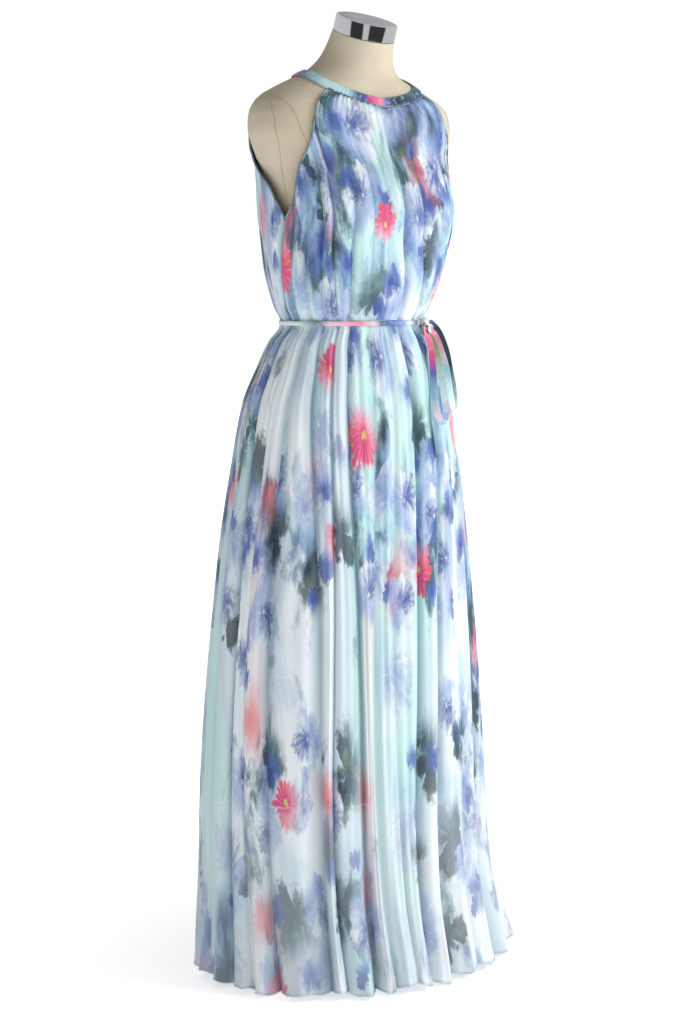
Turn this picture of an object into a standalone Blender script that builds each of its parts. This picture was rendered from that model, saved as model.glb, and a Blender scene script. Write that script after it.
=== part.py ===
"""Sleeveless maxi dress with a gathered halter neckline, worn on a limbless dress form.

The front of the dress faces -Y, its right side is at -X, and the origin is the middle of the
underside of the form's base. Angles round the body are in degrees, 0 at the centre front and
growing towards +X. A section of the form or of the cloth is an ellipse given by its half width
and by how far it reaches to the front and to the back of the YZ plane's origin. The form's
shoulders are squarer than an ellipse.
"""

import math
from bisect import bisect_right
from collections import namedtuple

import bmesh
import bpy
from mathutils import Vector

GAP = 0.0003  # between touching pieces
SEAM_TRIM = 0.00018  # taken off each panel's edge at a side seam
CLOTH_WALL = 0.0012
CLOTH_EASE = 0.0042  # outer face of the cloth off the form where it lies on it

WAIST_HEIGHT = 1.017
WAIST_TOP = 1.0215  # the tie lies in a short straight stretch of the cloth
WAIST_BOTTOM = 1.0125
LYING_FROM = 1.240  # the cloth hangs below this height
LYING_ABOVE = 1.290  # and lies on the form above this one

BASE_RADIUS = 0.150
BASE_THICKNESS = 0.008
BASE_EDGE = 0.002
POLE_RADIUS = 0.0125
CAP_RADIUS = 0.0482
CAP_HEIGHT = 0.0245
CAP_EDGE = 0.0012

BAND_CLEARANCE = 0.0008
BAND_THICKNESS = 0.0024
BAND_SEAM = 0.0005

TIE_WIDTH = 0.0070
TIE_THICKNESS = 0.0026
CORD_RADIUS = 0.0022
KNOT_ANGLE = 42.0
KNOT_SIZE = (0.0190, 0.0110, 0.0160)  # along the waist, outward, upright
KNOT_CLEARANCE = 0.0013  # from the knot to the middle of a cord's square end

FORM_COLUMNS = 32
CAP_SEGMENTS = 32
POLE_SEGMENTS = 20
BASE_SEGMENTS = 40
KNOT_SEGMENTS = 14
KNOT_RINGS = 9
LINING_COLUMNS = 40
BAND_COLUMNS = 48
TIE_COLUMNS = 60

FormSection = namedtuple("FormSection", "height half_width front back squareness tilt")
FORM_SECTIONS = [
    FormSection(0.820, 0.1480, 0.1000, 0.1120, 2.00, 0),
    FormSection(0.900, 0.1420, 0.0980, 0.1080, 2.00, 0),
    FormSection(0.960, 0.1250, 0.0900, 0.0930, 2.00, 0),
    FormSection(1.017, 0.1100, 0.0860, 0.0800, 2.00, 0),
    FormSection(1.080, 0.1220, 0.1000, 0.0860, 2.00, 0),
    FormSection(1.140, 0.1360, 0.1220, 0.0930, 2.00, 0),
    FormSection(1.190, 0.1440, 0.1350, 0.0980, 2.00, 0),
    FormSection(1.240, 0.1550, 0.1200, 0.1000, 2.00, 0),
    FormSection(1.275, 0.1670, 0.1060, 0.0980, 2.15, 0),
    FormSection(1.314, 0.1790, 0.0940, 0.0900, 2.40, 1),
    FormSection(1.332, 0.1780, 0.0885, 0.0840, 2.50, 2),
    FormSection(1.350, 0.1710, 0.0830, 0.0760, 2.50, 3.5),
    FormSection(1.361, 0.1600, 0.0795, 0.0700, 2.45, 4.5),
    FormSection(1.372, 0.1400, 0.0755, 0.0650, 2.35, 5.5),
    FormSection(1.388, 0.1040, 0.0710, 0.0590, 2.20, 7),
    FormSection(1.402, 0.0750, 0.0685, 0.0500, 2.05, 9),
    FormSection(1.421, 0.0575, 0.0715, 0.0365, 2.00, 12),
    FormSection(1.439, 0.0505, 0.0762, 0.0245, 2.00, 16),
    FormSection(1.457, 0.0475, 0.0815, 0.0135, 2.00, 20),
]
SHOULDER_LINE = 1.25  # the form has twice as many sections above it

ClothSection = namedtuple("ClothSection", "height half_width front back")
DRESS_SECTIONS = [
    ClothSection(0.008, 0.2600, 0.2220, 0.1930),
    ClothSection(0.140, 0.2450, 0.1840, 0.1930),
    ClothSection(0.278, 0.2370, 0.1680, 0.1920),
    ClothSection(0.467, 0.2240, 0.1570, 0.1830),
    ClothSection(0.657, 0.2050, 0.1440, 0.1680),
    ClothSection(0.799, 0.1850, 0.1330, 0.1490),
    ClothSection(0.894, 0.1690, 0.1240, 0.1340),
    ClothSection(0.941, 0.1530, 0.1160, 0.1160),
    ClothSection(0.989, 0.1320, 0.1015, 0.0990),
    ClothSection(WAIST_BOTTOM, 0.1165, 0.0955, 0.0865),
    ClothSection(WAIST_TOP, 0.1165, 0.0955, 0.0865),
    ClothSection(1.039, 0.1260, 0.1030, 0.0900),
    ClothSection(1.058, 0.1330, 0.1100, 0.0940),
    ClothSection(1.096, 0.1450, 0.1230, 0.0990),
    ClothSection(1.134, 0.1520, 0.1310, 0.1020),
    ClothSection(1.185, 0.1580, 0.1450, 0.1110),
    ClothSection(1.240, 0.1640, 0.1290, 0.1080),
    ClothSection(1.290, 0.1780, 0.1045, 0.0995),
]
LINING_SECTIONS = [
    ClothSection(0.290, 0.2170, 0.1520, 0.1740),
    ClothSection(0.470, 0.2050, 0.1420, 0.1660),
    ClothSection(0.660, 0.1890, 0.1310, 0.1530),
    ClothSection(0.800, 0.1710, 0.1220, 0.1370),
    ClothSection(0.900, 0.1530, 0.1130, 0.1200),
    ClothSection(0.980, 0.1265, 0.0970, 0.0950),
    ClothSection(WAIST_BOTTOM, 0.1149, 0.0939, 0.0849),
    ClothSection(WAIST_TOP, 0.1149, 0.0939, 0.0849),
]
LINING_WAVES = 9
LINING_WAVE_DEPTH = 0.004
LINING_FRONT_DROP = 0.010

# How far the folds stand out at each height, as a share of their full depth.
FoldGrowth = namedtuple("FoldGrowth", "height share")
FOLD_GROWTH = [
    FoldGrowth(0.008, 1.25),
    FoldGrowth(0.280, 1.10),
    FoldGrowth(0.550, 1.00),
    FoldGrowth(0.800, 0.85),
    FoldGrowth(0.940, 0.62),
    FoldGrowth(0.990, 0.45),
    FoldGrowth(WAIST_BOTTOM, 0.34),
    FoldGrowth(WAIST_TOP, 0.34),
    FoldGrowth(1.040, 0.42),
    FoldGrowth(1.100, 0.60),
    FoldGrowth(1.190, 0.55),
    FoldGrowth(1.300, 0.28),
    FoldGrowth(1.400, 0.10),
]

# Each valley's angle from the middle of its panel at five heights, and the full depth of the
# fold that follows it. The first and last valleys are the side seams.
FOLD_LEVELS = (0.008, 0.550, WAIST_HEIGHT, 1.190, 1.360)
Valley = namedtuple("Valley", "hem knee waist bust neck fold_depth")
FRONT_VALLEYS = [
    Valley(-83, -84, -90, -79, -70, 0.010),
    Valley(-73, -77, -78, -72, -62, 0.009),
    Valley(-62, -66, -67, -62, -53, 0.008),
    Valley(-40, -41, -54, -52, -45, 0.010),
    Valley(-34.5, -35.5, -42, -46, -38.5, 0.011),
    Valley(-22.5, -23.5, -33, -33, -31, 0.010),
    Valley(-17.5, -18, -17, -22, -20, 0.009),
    Valley(-9, -9, -5, -13, -10, 0.011),
    Valley(-2, 3.5, 9, -3, -1, 0.012),
    Valley(7, 16, 28, 11, 9, 0.012),
    Valley(20, 29, 40, 26, 19, 0.012),
    Valley(35, 42, 54, 40, 31, 0.010),
    Valley(52, 56, 66, 48, 38.5, 0.012),
    Valley(68, 70, 78, 56, 45, 0.010),
    Valley(83, 84, 90, 79, 70, 0.0),
]
BACK_VALLEYS = [
    Valley(-97, -96, -90, -101, -114, 0.010),
    Valley(-83, -82, -77, -82, -68, 0.012),
    Valley(-68, -68, -65, -60, -44, 0.009),
    Valley(-57, -56, -54, -48, -37, 0.012),
    Valley(-41, -41, -42, -40, -30, 0.010),
    Valley(-30, -29, -30, -29, -25, 0.012),
    Valley(-13, -14, -16, -14, -12, 0.009),
    Valley(-1, -2, -2, -1, -1, 0.012),
    Valley(15, 14, 13, 14, 11, 0.010),
    Valley(27, 27, 26, 26, 21, 0.012),
    Valley(43, 42, 40, 40, 29, 0.009),
    Valley(55, 55, 53, 47, 37, 0.012),
    Valley(69, 68, 66, 60, 44, 0.010),
    Valley(83, 82, 78, 81, 68, 0.012),
    Valley(97, 96, 90, 101, 114, 0.0),
]

# One fold across its width: it rises steeply out of the valley to a broad soft ridge.
FoldShape = namedtuple("FoldShape", "across rise")
FOLD_SHAPE = [
    FoldShape(0.00, 0.00),
    FoldShape(0.17, 0.70),
    FoldShape(0.50, 1.00),
    FoldShape(0.83, 0.70),
]

# Rows of the panels: the bodice's as shares of the way from the waist to the upper edge.
BODICE_ROWS = (1.0, 0.96, 0.90, 0.82, 0.72, 0.59, 0.44, 0.28, 0.11)
SKIRT_ROWS = (WAIST_TOP, WAIST_BOTTOM, 0.985, 0.945, 0.880, 0.790, 0.660, 0.470, 0.250, 0.090, 0.008)

# The neckband's two edges on the form's skin.
BandStation = namedtuple("BandStation", "angle outer_height inner_height")
BAND_STATIONS = [
    BandStation(0, 1.3485, 1.3648),
    BandStation(23, 1.3645, 1.3765),
    BandStation(45, 1.3768, 1.3863),
    BandStation(64, 1.3848, 1.3929),
    BandStation(91, 1.3904, 1.3990),
    BandStation(120, 1.3885, 1.3986),
    BandStation(142, 1.3844, 1.3977),
    BandStation(180, 1.3806, 1.3972),
]

# The cut edge of each armhole, by the angle from the middle of its panel.
EdgePoint = namedtuple("EdgePoint", "angle height")
FRONT_ARMHOLE = [
    EdgePoint(39.5, 1.3730),
    EdgePoint(41.0, 1.3270),
    EdgePoint(46.5, 1.2930),
    EdgePoint(52.5, 1.2755),
    EdgePoint(63.0, 1.2460),
    EdgePoint(72.5, 1.1970),
    EdgePoint(80.0, 1.1720),
]
BACK_ARMHOLE = [
    EdgePoint(38.3, 1.3840),
    EdgePoint(42.0, 1.3463),
    EdgePoint(50.0, 1.3091),
    EdgePoint(62.0, 1.2750),
    EdgePoint(75.0, 1.2500),
    EdgePoint(88.0, 1.2250),
    EdgePoint(94.0, 1.2000),
    EdgePoint(100.0, 1.1750),
]

# Where the bow's loops and tails leave the knot: degrees round it, 0 towards growing angles and
# 90 up, and how far the direction leans outward.
Exit = namedtuple("Exit", "turn out")

# Their routes over the skirt: angle, height, and the lift of the cord's middle off the folds.
BowPoint = namedtuple("BowPoint", "angle height lift")
LOOP_RIGHT_EXITS = (Exit(6, 0.45), Exit(-36, 0.42))
LOOP_RIGHT_ROUTE = [
    BowPoint(50.0, 1.016, 0.0170),
    BowPoint(51.0, 0.998, 0.0215),
    BowPoint(50.0, 0.970, 0.0190),
    BowPoint(49.0, 0.940, 0.0130),
    BowPoint(48.0, 0.905, 0.0085),
    BowPoint(46.0, 0.886, 0.0070),
    BowPoint(43.5, 0.882, 0.0070),
    BowPoint(41.5, 0.892, 0.0080),
    BowPoint(40.5, 0.920, 0.0100),
    BowPoint(41.5, 0.955, 0.0130),
    BowPoint(44.0, 0.985, 0.0150),
    BowPoint(48.3, 1.006, 0.0150),
]
LOOP_LEFT_EXITS = (Exit(190, 0.20), Exit(-138, 0.50))
LOOP_LEFT_ROUTE = [
    BowPoint(34.5, 1.013, 0.0110),
    BowPoint(29.5, 0.985, 0.0140),
    BowPoint(24.5, 0.955, 0.0130),
    BowPoint(20.5, 0.920, 0.0125),
    BowPoint(19.0, 0.890, 0.0120),
    BowPoint(21.0, 0.870, 0.0110),
    BowPoint(24.5, 0.864, 0.0100),
    BowPoint(28.0, 0.873, 0.0100),
    BowPoint(29.5, 0.900, 0.0110),
    BowPoint(30.5, 0.935, 0.0130),
    BowPoint(33.0, 0.970, 0.0150),
    BowPoint(35.0, 1.002, 0.0155),
]
TAIL_LONG_EXITS = (Exit(-112, -0.15),)
TAIL_LONG_ROUTE = [
    BowPoint(38.5, 0.998, 0.0060),
    BowPoint(34.0, 0.980, 0.0045),
    BowPoint(28.0, 0.950, 0.0035),
    BowPoint(22.0, 0.910, 0.0030),
    BowPoint(19.0, 0.870, 0.0030),
    BowPoint(19.0, 0.840, 0.0030),
    BowPoint(19.5, 0.808, 0.0030),
]
TAIL_SHORT_EXITS = (Exit(-76, -0.12),)
TAIL_SHORT_ROUTE = [
    BowPoint(44.0, 0.998, 0.0060),
    BowPoint(45.0, 0.980, 0.0045),
    BowPoint(46.0, 0.950, 0.0035),
    BowPoint(45.0, 0.915, 0.0030),
    BowPoint(44.5, 0.896, 0.0030),
]
CORD_STEP = 0.0125


def clear_scene():
    for item in list(bpy.data.objects):
        bpy.data.objects.remove(item, do_unlink=True)


def smooth_value(xs, ys, x):
    """Value at x of a smooth curve through the points, without overshoot between them."""
    if x <= xs[0]:
        return ys[0]
    if x >= xs[-1]:
        return ys[-1]
    steps = [(ys[i + 1] - ys[i]) / (xs[i + 1] - xs[i]) for i in range(len(xs) - 1)]

    def slope(i):
        if i == 0:
            return steps[0]
        if i == len(steps):
            return steps[-1]
        before, after = steps[i - 1], steps[i]
        return 0.0 if before * after <= 0 else 2 * before * after / (before + after)

    i = bisect_right(xs, x) - 1
    width = xs[i + 1] - xs[i]
    t = (x - xs[i]) / width
    start = (1 + 2 * t) * (1 - t) ** 2
    rise = t * (1 - t) ** 2 * width * slope(i)
    fall = t * t * (t - 1) * width * slope(i + 1)
    return start * ys[i] + (1 - start) * ys[i + 1] + rise + fall


def column_value(rows, key, column, x):
    """Smooth value of a table's column where its key column is x."""
    return smooth_value([getattr(r, key) for r in rows], [getattr(r, column) for r in rows], x)


def section_at(rows, height):
    """Half width, middle and half depth of a table's section at a height."""
    half_width = column_value(rows, "height", "half_width", height)
    front = column_value(rows, "height", "front", height)
    back = column_value(rows, "height", "back", height)
    return half_width, (back - front) / 2, (back + front) / 2


def form_point(angle, height):
    half_width, middle, half_depth = section_at(FORM_SECTIONS, height)
    tilt = math.radians(column_value(FORM_SECTIONS, "height", "tilt", height))
    power = 2 / column_value(FORM_SECTIONS, "height", "squareness", height)
    sine, cosine = math.sin(math.radians(angle)), math.cos(math.radians(angle))
    x = half_width * math.copysign(abs(sine) ** power, sine)
    back = -half_depth * math.copysign(abs(cosine) ** power, cosine)
    return Vector((x, middle + back, height + back * math.tan(tilt)))


def cloth_point(rows, angle, height, lift=0.0):
    """A point of a cloth section, moved outward square to the section by lift."""
    half_width, middle, half_depth = section_at(rows, height)
    turn = math.radians(angle)
    outward = Vector((half_depth * math.sin(turn), -half_width * math.cos(turn), 0)).normalized()
    point = Vector((half_width * math.sin(turn), middle - half_depth * math.cos(turn), height))
    return point + outward * lift


def dress_point(angle, height, lift=0.0):
    """A point of the dress's outer face, which hangs below the bust and lies on the form above."""
    if height <= LYING_FROM:
        return cloth_point(DRESS_SECTIONS, angle, height, lift)
    away = CLOTH_EASE + lift
    lying = form_point(angle, height) + surface_normal(form_point, angle, height) * away
    if height >= LYING_ABOVE:
        return lying
    share = (height - LYING_FROM) / (LYING_ABOVE - LYING_FROM)
    share = share * share * (3 - 2 * share)
    return cloth_point(DRESS_SECTIONS, angle, height, lift).lerp(lying, share)


def surface_normal(surface, angle, height):
    """Outward normal of a surface given as a function of angle and height."""
    turn, rise = 0.5, 0.0005
    across = surface(angle + turn, height) - surface(angle - turn, height)
    up = surface(angle, height + rise) - surface(angle, height - rise)
    return across.cross(up).normalized()


def grid_normals(grid, closed):
    """Outward normals of a grid of points whose rows run down and columns to the right."""
    rows, columns = len(grid), len(grid[0])
    normals = []
    for i in range(rows):
        line = []
        for j in range(columns):
            left, right = j - 1, (j + 1) % columns
            if not closed:
                left, right = max(j - 1, 0), min(j + 1, columns - 1)
            across = grid[i][right] - grid[i][left]
            up = grid[max(i - 1, 0)][j] - grid[min(i + 1, rows - 1)][j]
            line.append(across.cross(up).normalized())
        normals.append(line)
    return normals


def new_object(name, data, material):
    item = bpy.data.objects.new(name, data)
    bpy.context.scene.collection.objects.link(item)
    data.materials.append(material)
    return item


def mesh_object(name, bm, material, sharp_degrees=45):
    mesh = bpy.data.meshes.new(name)
    bm.to_mesh(mesh)
    bm.free()
    mesh.shade_smooth()
    mesh.set_sharp_from_angle(angle=math.radians(sharp_degrees))
    return new_object(name, mesh, material)


def plain_material(name, colour, roughness, metallic=0.0):
    material = bpy.data.materials.new(name)
    material.use_nodes = True
    shader = material.node_tree.nodes["Principled BSDF"]
    shader.inputs["Base Color"].default_value = (*colour, 1.0)
    shader.inputs["Roughness"].default_value = roughness
    shader.inputs["Metallic"].default_value = metallic
    return material


def wall_object(name, outer, inner, closed, material):
    """A cloth wall between two grids of points, open at its edges or closed round a tube."""
    bm = bmesh.new()
    out = [[bm.verts.new(p) for p in row] for row in outer]
    ins = [[bm.verts.new(p) for p in row] for row in inner]
    rows, columns = len(out), len(out[0])
    last = columns if closed else columns - 1
    for i in range(rows - 1):
        for j in range(last):
            k = (j + 1) % columns
            bm.faces.new((out[i][j], out[i + 1][j], out[i + 1][k], out[i][k]))
            bm.faces.new((ins[i][k], ins[i + 1][k], ins[i + 1][j], ins[i][j]))
    for j in range(last):
        k = (j + 1) % columns
        bm.faces.new((out[0][j], out[0][k], ins[0][k], ins[0][j]))
        bm.faces.new((ins[-1][j], ins[-1][k], out[-1][k], out[-1][j]))
    if not closed:
        for i in range(rows - 1):
            bm.faces.new((out[i][0], ins[i][0], ins[i + 1][0], out[i + 1][0]))
            bm.faces.new((out[i + 1][-1], ins[i + 1][-1], ins[i][-1], out[i][-1]))
    return mesh_object(name, bm, material)


def ring_object(name, loops, material):
    """A closed band through small loops of points set round the body."""
    bm = bmesh.new()
    rings = [[bm.verts.new(p) for p in loop] for loop in loops]
    count = len(rings[0])
    for i, ring in enumerate(rings):
        after = rings[(i + 1) % len(rings)]
        for j in range(count):
            k = (j + 1) % count
            bm.faces.new((ring[j], ring[k], after[k], after[j]))
    return mesh_object(name, bm, material)


def form_torso(material):
    """The padded torso from the hips to the top of the neck, as one smooth body."""
    heights = []
    for low, high in zip(FORM_SECTIONS, FORM_SECTIONS[1:]):
        heights.append(low.height)
        if low.height > SHOULDER_LINE:
            heights.append((low.height + high.height) / 2)
    heights.append(FORM_SECTIONS[-1].height)
    bm = bmesh.new()
    rings = []
    for height in heights:
        turn = 360 / FORM_COLUMNS
        rings.append([bm.verts.new(form_point(j * turn, height)) for j in range(FORM_COLUMNS)])
    for low, high in zip(rings, rings[1:]):
        for j in range(FORM_COLUMNS):
            k = (j + 1) % FORM_COLUMNS
            bm.faces.new((low[j], low[k], high[k], high[j]))
    bm.faces.new(list(reversed(rings[0])))
    bm.faces.new(rings[-1])
    return mesh_object("form_torso", bm, material)


def bevelled_cylinder(radius, height, edge, segments):
    """A disc or rod standing on the origin, its rims rounded."""
    bm = bmesh.new()
    bmesh.ops.create_cone(
        bm, cap_ends=True, segments=segments, radius1=radius, radius2=radius, depth=height
    )
    bmesh.ops.translate(bm, verts=bm.verts, vec=(0, 0, height / 2))
    if edge:
        rims = [e for e in bm.edges if abs(e.verts[0].co.z - e.verts[1].co.z) < height / 2]
        bmesh.ops.bevel(bm, geom=rims, offset=edge, segments=1, affect="EDGES", profile=0.5)
    return bm


def form_neck_cap(material):
    """The round cap on the neck, square to the neck's lean."""
    top = FORM_SECTIONS[-1]
    disc = bevelled_cylinder(CAP_RADIUS, CAP_HEIGHT, CAP_EDGE, CAP_SEGMENTS)
    cap = mesh_object("form_neck_cap", disc, material)
    lean = math.radians(top.tilt)
    axis = Vector((0, -math.sin(lean), math.cos(lean)))
    cap.location = Vector((0, (top.back - top.front) / 2, top.height)) + axis * GAP
    cap.rotation_euler = (lean, 0, 0)
    return cap


def form_stand(pole_material, base_material):
    """The steel pole under the torso and the round base plate that it stands on."""
    length = FORM_SECTIONS[0].height - BASE_THICKNESS - 2 * GAP
    rod = bevelled_cylinder(POLE_RADIUS, length, 0, POLE_SEGMENTS)
    pole = mesh_object("form_pole", rod, pole_material)
    pole.location.z = BASE_THICKNESS + GAP
    base = bevelled_cylinder(BASE_RADIUS, BASE_THICKNESS, BASE_EDGE, BASE_SEGMENTS)
    mesh_object("form_base", base, base_material)


def fold_share(height):
    return column_value(FOLD_GROWTH, "height", "share", height)


def valley_angle(valley, height):
    angles = (valley.hem, valley.knee, valley.waist, valley.bust, valley.neck)
    return smooth_value(FOLD_LEVELS, angles, height)


def edge_height(armhole, middle, angle):
    """Height of a panel's upper edge at an angle: under the neckband, or along the armhole."""
    away = abs(angle)
    if away > armhole[0].angle:
        return column_value(armhole, "angle", "height", away)
    return column_value(BAND_STATIONS, "angle", "outer_height", abs(middle - away)) - BAND_SEAM


def dress_panel(name, valleys, armhole, middle, material):
    """The front or back of the dress, cut in one from neckband to hem and laid in folds."""
    columns = []
    for left, right in zip(valleys, valleys[1:]):
        columns += [(left, right, shape.across, shape.rise) for shape in FOLD_SHAPE]
    columns.append((valleys[-2], valleys[-1], 1.0, 0.0))

    def direction(column, height):
        left, right, across, _ = column
        start = valley_angle(left, height)
        return start + (valley_angle(right, height) - start) * across

    def top_of(column):
        low, high = WAIST_HEIGHT, FORM_SECTIONS[-1].height
        while high - low > GAP / 10:
            height = (low + high) / 2
            if height < edge_height(armhole, middle, direction(column, height)):
                low = height
            else:
                high = height
        return low

    outer = [[] for _ in range(len(BODICE_ROWS) + len(SKIRT_ROWS))]
    for column in columns:
        reach = top_of(column) - WAIST_TOP
        heights = [WAIST_TOP + share * reach for share in BODICE_ROWS] + list(SKIRT_ROWS)
        for row, height in zip(outer, heights):
            lift = column[3] * column[0].fold_depth * fold_share(height)
            row.append(dress_point(middle + direction(column, height), height, lift))

    normals = grid_normals(outer, closed=False)
    for row, line in zip(outer, normals):
        for end, side in ((0, 1), (-1, -1)):
            # Both panels meet along the same square edge at a side seam.
            x, y, _ = row[end]
            line[end] = Vector((math.copysign(1, x), y / abs(x), 0)).normalized()
            along = Vector((-line[end].y, line[end].x, 0))
            row[end] += along * side * SEAM_TRIM
    inner = [[p - n * CLOTH_WALL for p, n in zip(*pair)] for pair in zip(outer, normals)]
    return wall_object(name, outer, inner, False, material)


def lining(material):
    """The slip lining, a plain tube from the waist to its own hem, waved a little at the hem."""
    outer = []
    hem, waist = LINING_SECTIONS[0].height, LINING_SECTIONS[-1].height
    for section in reversed(LINING_SECTIONS):
        share = (waist - section.height) / (waist - hem)
        row = []
        for j in range(LINING_COLUMNS):
            angle = j * 360 / LINING_COLUMNS
            lift = LINING_WAVE_DEPTH * share * math.sin(math.radians(angle * LINING_WAVES))
            point = cloth_point(LINING_SECTIONS, angle, section.height, lift)
            point.z -= LINING_FRONT_DROP * share * math.cos(math.radians(angle))
            row.append(point)
        outer.append(row)
    normals = grid_normals(outer, closed=True)
    inner = [[p - n * CLOTH_WALL for p, n in zip(*pair)] for pair in zip(outer, normals)]
    return wall_object("lining", outer, inner, True, material)


def neckband(material):
    """The halter band, which lies flat on the form's shoulders right round the neck."""
    loops = []
    for j in range(BAND_COLUMNS):
        angle = j * 360 / BAND_COLUMNS
        away = min(angle, 360 - angle)
        low = column_value(BAND_STATIONS, "angle", "outer_height", away)
        high = column_value(BAND_STATIONS, "angle", "inner_height", away)
        skin = []
        for height in (low, (low + high) / 2, high):
            skin.append((form_point(angle, height), surface_normal(form_point, angle, height)))
        under = [p + n * BAND_CLEARANCE for p, n in skin]
        over = [p + n * (BAND_CLEARANCE + BAND_THICKNESS) for p, n in skin]
        loops.append(under + over[::-1])
    return ring_object("neckband", loops, material)


def deepest_fold():
    return max(valley.fold_depth for valley in FRONT_VALLEYS + BACK_VALLEYS)


def folds_point(angle, height, lift):
    """A point at a lift off the tops of the dress's folds."""
    return cloth_point(DRESS_SECTIONS, angle, height, deepest_fold() * fold_share(height) + lift)


def waist_tie(material):
    """The narrow tie that gathers the dress in, bearing on the tops of the folds."""
    loops = []
    for j in range(TIE_COLUMNS):
        angle = j * 360 / TIE_COLUMNS
        loop = []
        for up, lift in ((-1, GAP), (-1, TIE_THICKNESS), (1, TIE_THICKNESS), (1, GAP)):
            point = folds_point(angle, WAIST_HEIGHT, lift)
            point.z += up * TIE_WIDTH / 2
            loop.append(point)
        loops.append(loop[::-1])
    return ring_object("waist_tie", loops, material)


def knot_frame():
    """The knot's middle, and its directions along the waist, outward and up."""
    lift = TIE_THICKNESS + GAP + KNOT_SIZE[1] / 2
    centre = folds_point(KNOT_ANGLE, WAIST_HEIGHT, lift)
    outward = (centre - folds_point(KNOT_ANGLE, WAIST_HEIGHT, 0)).normalized()
    up = Vector((0, 0, 1))
    return centre, up.cross(outward), outward, up


def tie_knot(material):
    """The knot of the bow, against the outside of the tie."""
    centre, along, outward, up = knot_frame()
    bm = bmesh.new()
    bmesh.ops.create_uvsphere(
        bm, u_segments=KNOT_SEGMENTS, v_segments=KNOT_RINGS, radius=0.5
    )
    for vert in bm.verts:
        x, y, z = vert.co
        vert.co = outward * x * KNOT_SIZE[1] + along * y * KNOT_SIZE[0] + up * z * KNOT_SIZE[2]
    knot = mesh_object("tie_knot", bm, material)
    knot.location = centre


def knot_exit(exit_):
    """Where a cord's end meets the knot."""
    centre, along, outward, up = knot_frame()
    turn = math.radians(exit_.turn)
    parts = Vector((math.cos(turn), exit_.out, math.sin(turn))).normalized()
    reach = 0.5 / math.sqrt(sum((part / size) ** 2 for part, size in zip(parts, KNOT_SIZE)))
    way = along * parts.x + outward * parts.y + up * parts.z
    return centre + way * (reach + KNOT_CLEARANCE)


def cord_points(route, exits):
    """Evenly spaced points of a smooth curve from the knot along a route, and back if it loops."""
    stops = [knot_exit(exits[0])] + [folds_point(p.angle, p.height, p.lift) for p in route]
    stops += [knot_exit(exit_) for exit_ in exits[1:]]
    reach = [0.0]
    for before, after in zip(stops, stops[1:]):
        reach.append(reach[-1] + (after - before).length)
    count = round(reach[-1] / CORD_STEP)
    axes = [[stop[axis] for stop in stops] for axis in range(3)]
    return [
        Vector([spline_value(reach, axis, reach[-1] * i / count) for axis in axes])
        for i in range(count + 1)
    ]


def spline_value(xs, ys, x):
    """Value at x of a smooth curve whose slope at each point follows its neighbours."""
    i = min(max(bisect_right(xs, x) - 1, 0), len(xs) - 2)
    width = xs[i + 1] - xs[i]
    t = (x - xs[i]) / width

    def slope(j):
        low, high = max(j - 1, 0), min(j + 1, len(xs) - 1)
        return (ys[high] - ys[low]) / (xs[high] - xs[low])

    start = (1 + 2 * t) * (1 - t) ** 2
    lead = t * (1 - t) ** 2 * width * slope(i)
    trail = t * t * (t - 1) * width * slope(i + 1)
    return start * ys[i] + (1 - start) * ys[i + 1] + lead + trail


def cord(name, route, exits, material):
    """One loop or tail of the bow as a round cord."""
    points = cord_points(route, exits)
    data = bpy.data.curves.new(name, "CURVE")
    data.dimensions = "3D"
    data.bevel_depth = CORD_RADIUS
    data.bevel_resolution = 2
    data.use_fill_caps = True
    spline = data.splines.new("POLY")
    spline.points.add(len(points) - 1)
    for slot, point in zip(spline.points, points):
        slot.co = (*point, 1.0)
    return new_object(name, data, material)


def build():
    clear_scene()
    linen = plain_material("form_linen", (0.62, 0.53, 0.40), 0.85)
    chrome = plain_material("cap_chrome", (0.80, 0.81, 0.83), 0.12, 1.0)
    steel = plain_material("stand_steel", (0.72, 0.73, 0.75), 0.35, 1.0)
    chiffon = plain_material("printed_chiffon", (0.66, 0.76, 0.84), 0.70)
    back_chiffon = plain_material("printed_chiffon_back", (0.68, 0.80, 0.84), 0.70)
    slip = plain_material("lining_cloth", (0.80, 0.86, 0.88), 0.65)
    band = plain_material("band_chiffon", (0.55, 0.66, 0.80), 0.70)
    tie = plain_material("tie_chiffon", (0.62, 0.60, 0.72), 0.70)

    form_torso(linen)
    form_neck_cap(chrome)
    form_stand(steel, steel)
    dress_panel("dress_front", FRONT_VALLEYS, FRONT_ARMHOLE, 0, chiffon)
    dress_panel("dress_back", BACK_VALLEYS, BACK_ARMHOLE, 180, back_chiffon)
    lining(slip)
    neckband(band)
    waist_tie(tie)
    tie_knot(tie)
    cord("tie_loop_right", LOOP_RIGHT_ROUTE, LOOP_RIGHT_EXITS, tie)
    cord("tie_loop_left", LOOP_LEFT_ROUTE, LOOP_LEFT_EXITS, tie)
    cord("tie_tail_long", TAIL_LONG_ROUTE, TAIL_LONG_EXITS, tie)
    cord("tie_tail_short", TAIL_SHORT_ROUTE, TAIL_SHORT_EXITS, tie)


build()
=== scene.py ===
# Halter maxi dress on a limbless dress form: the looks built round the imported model
import math

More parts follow.
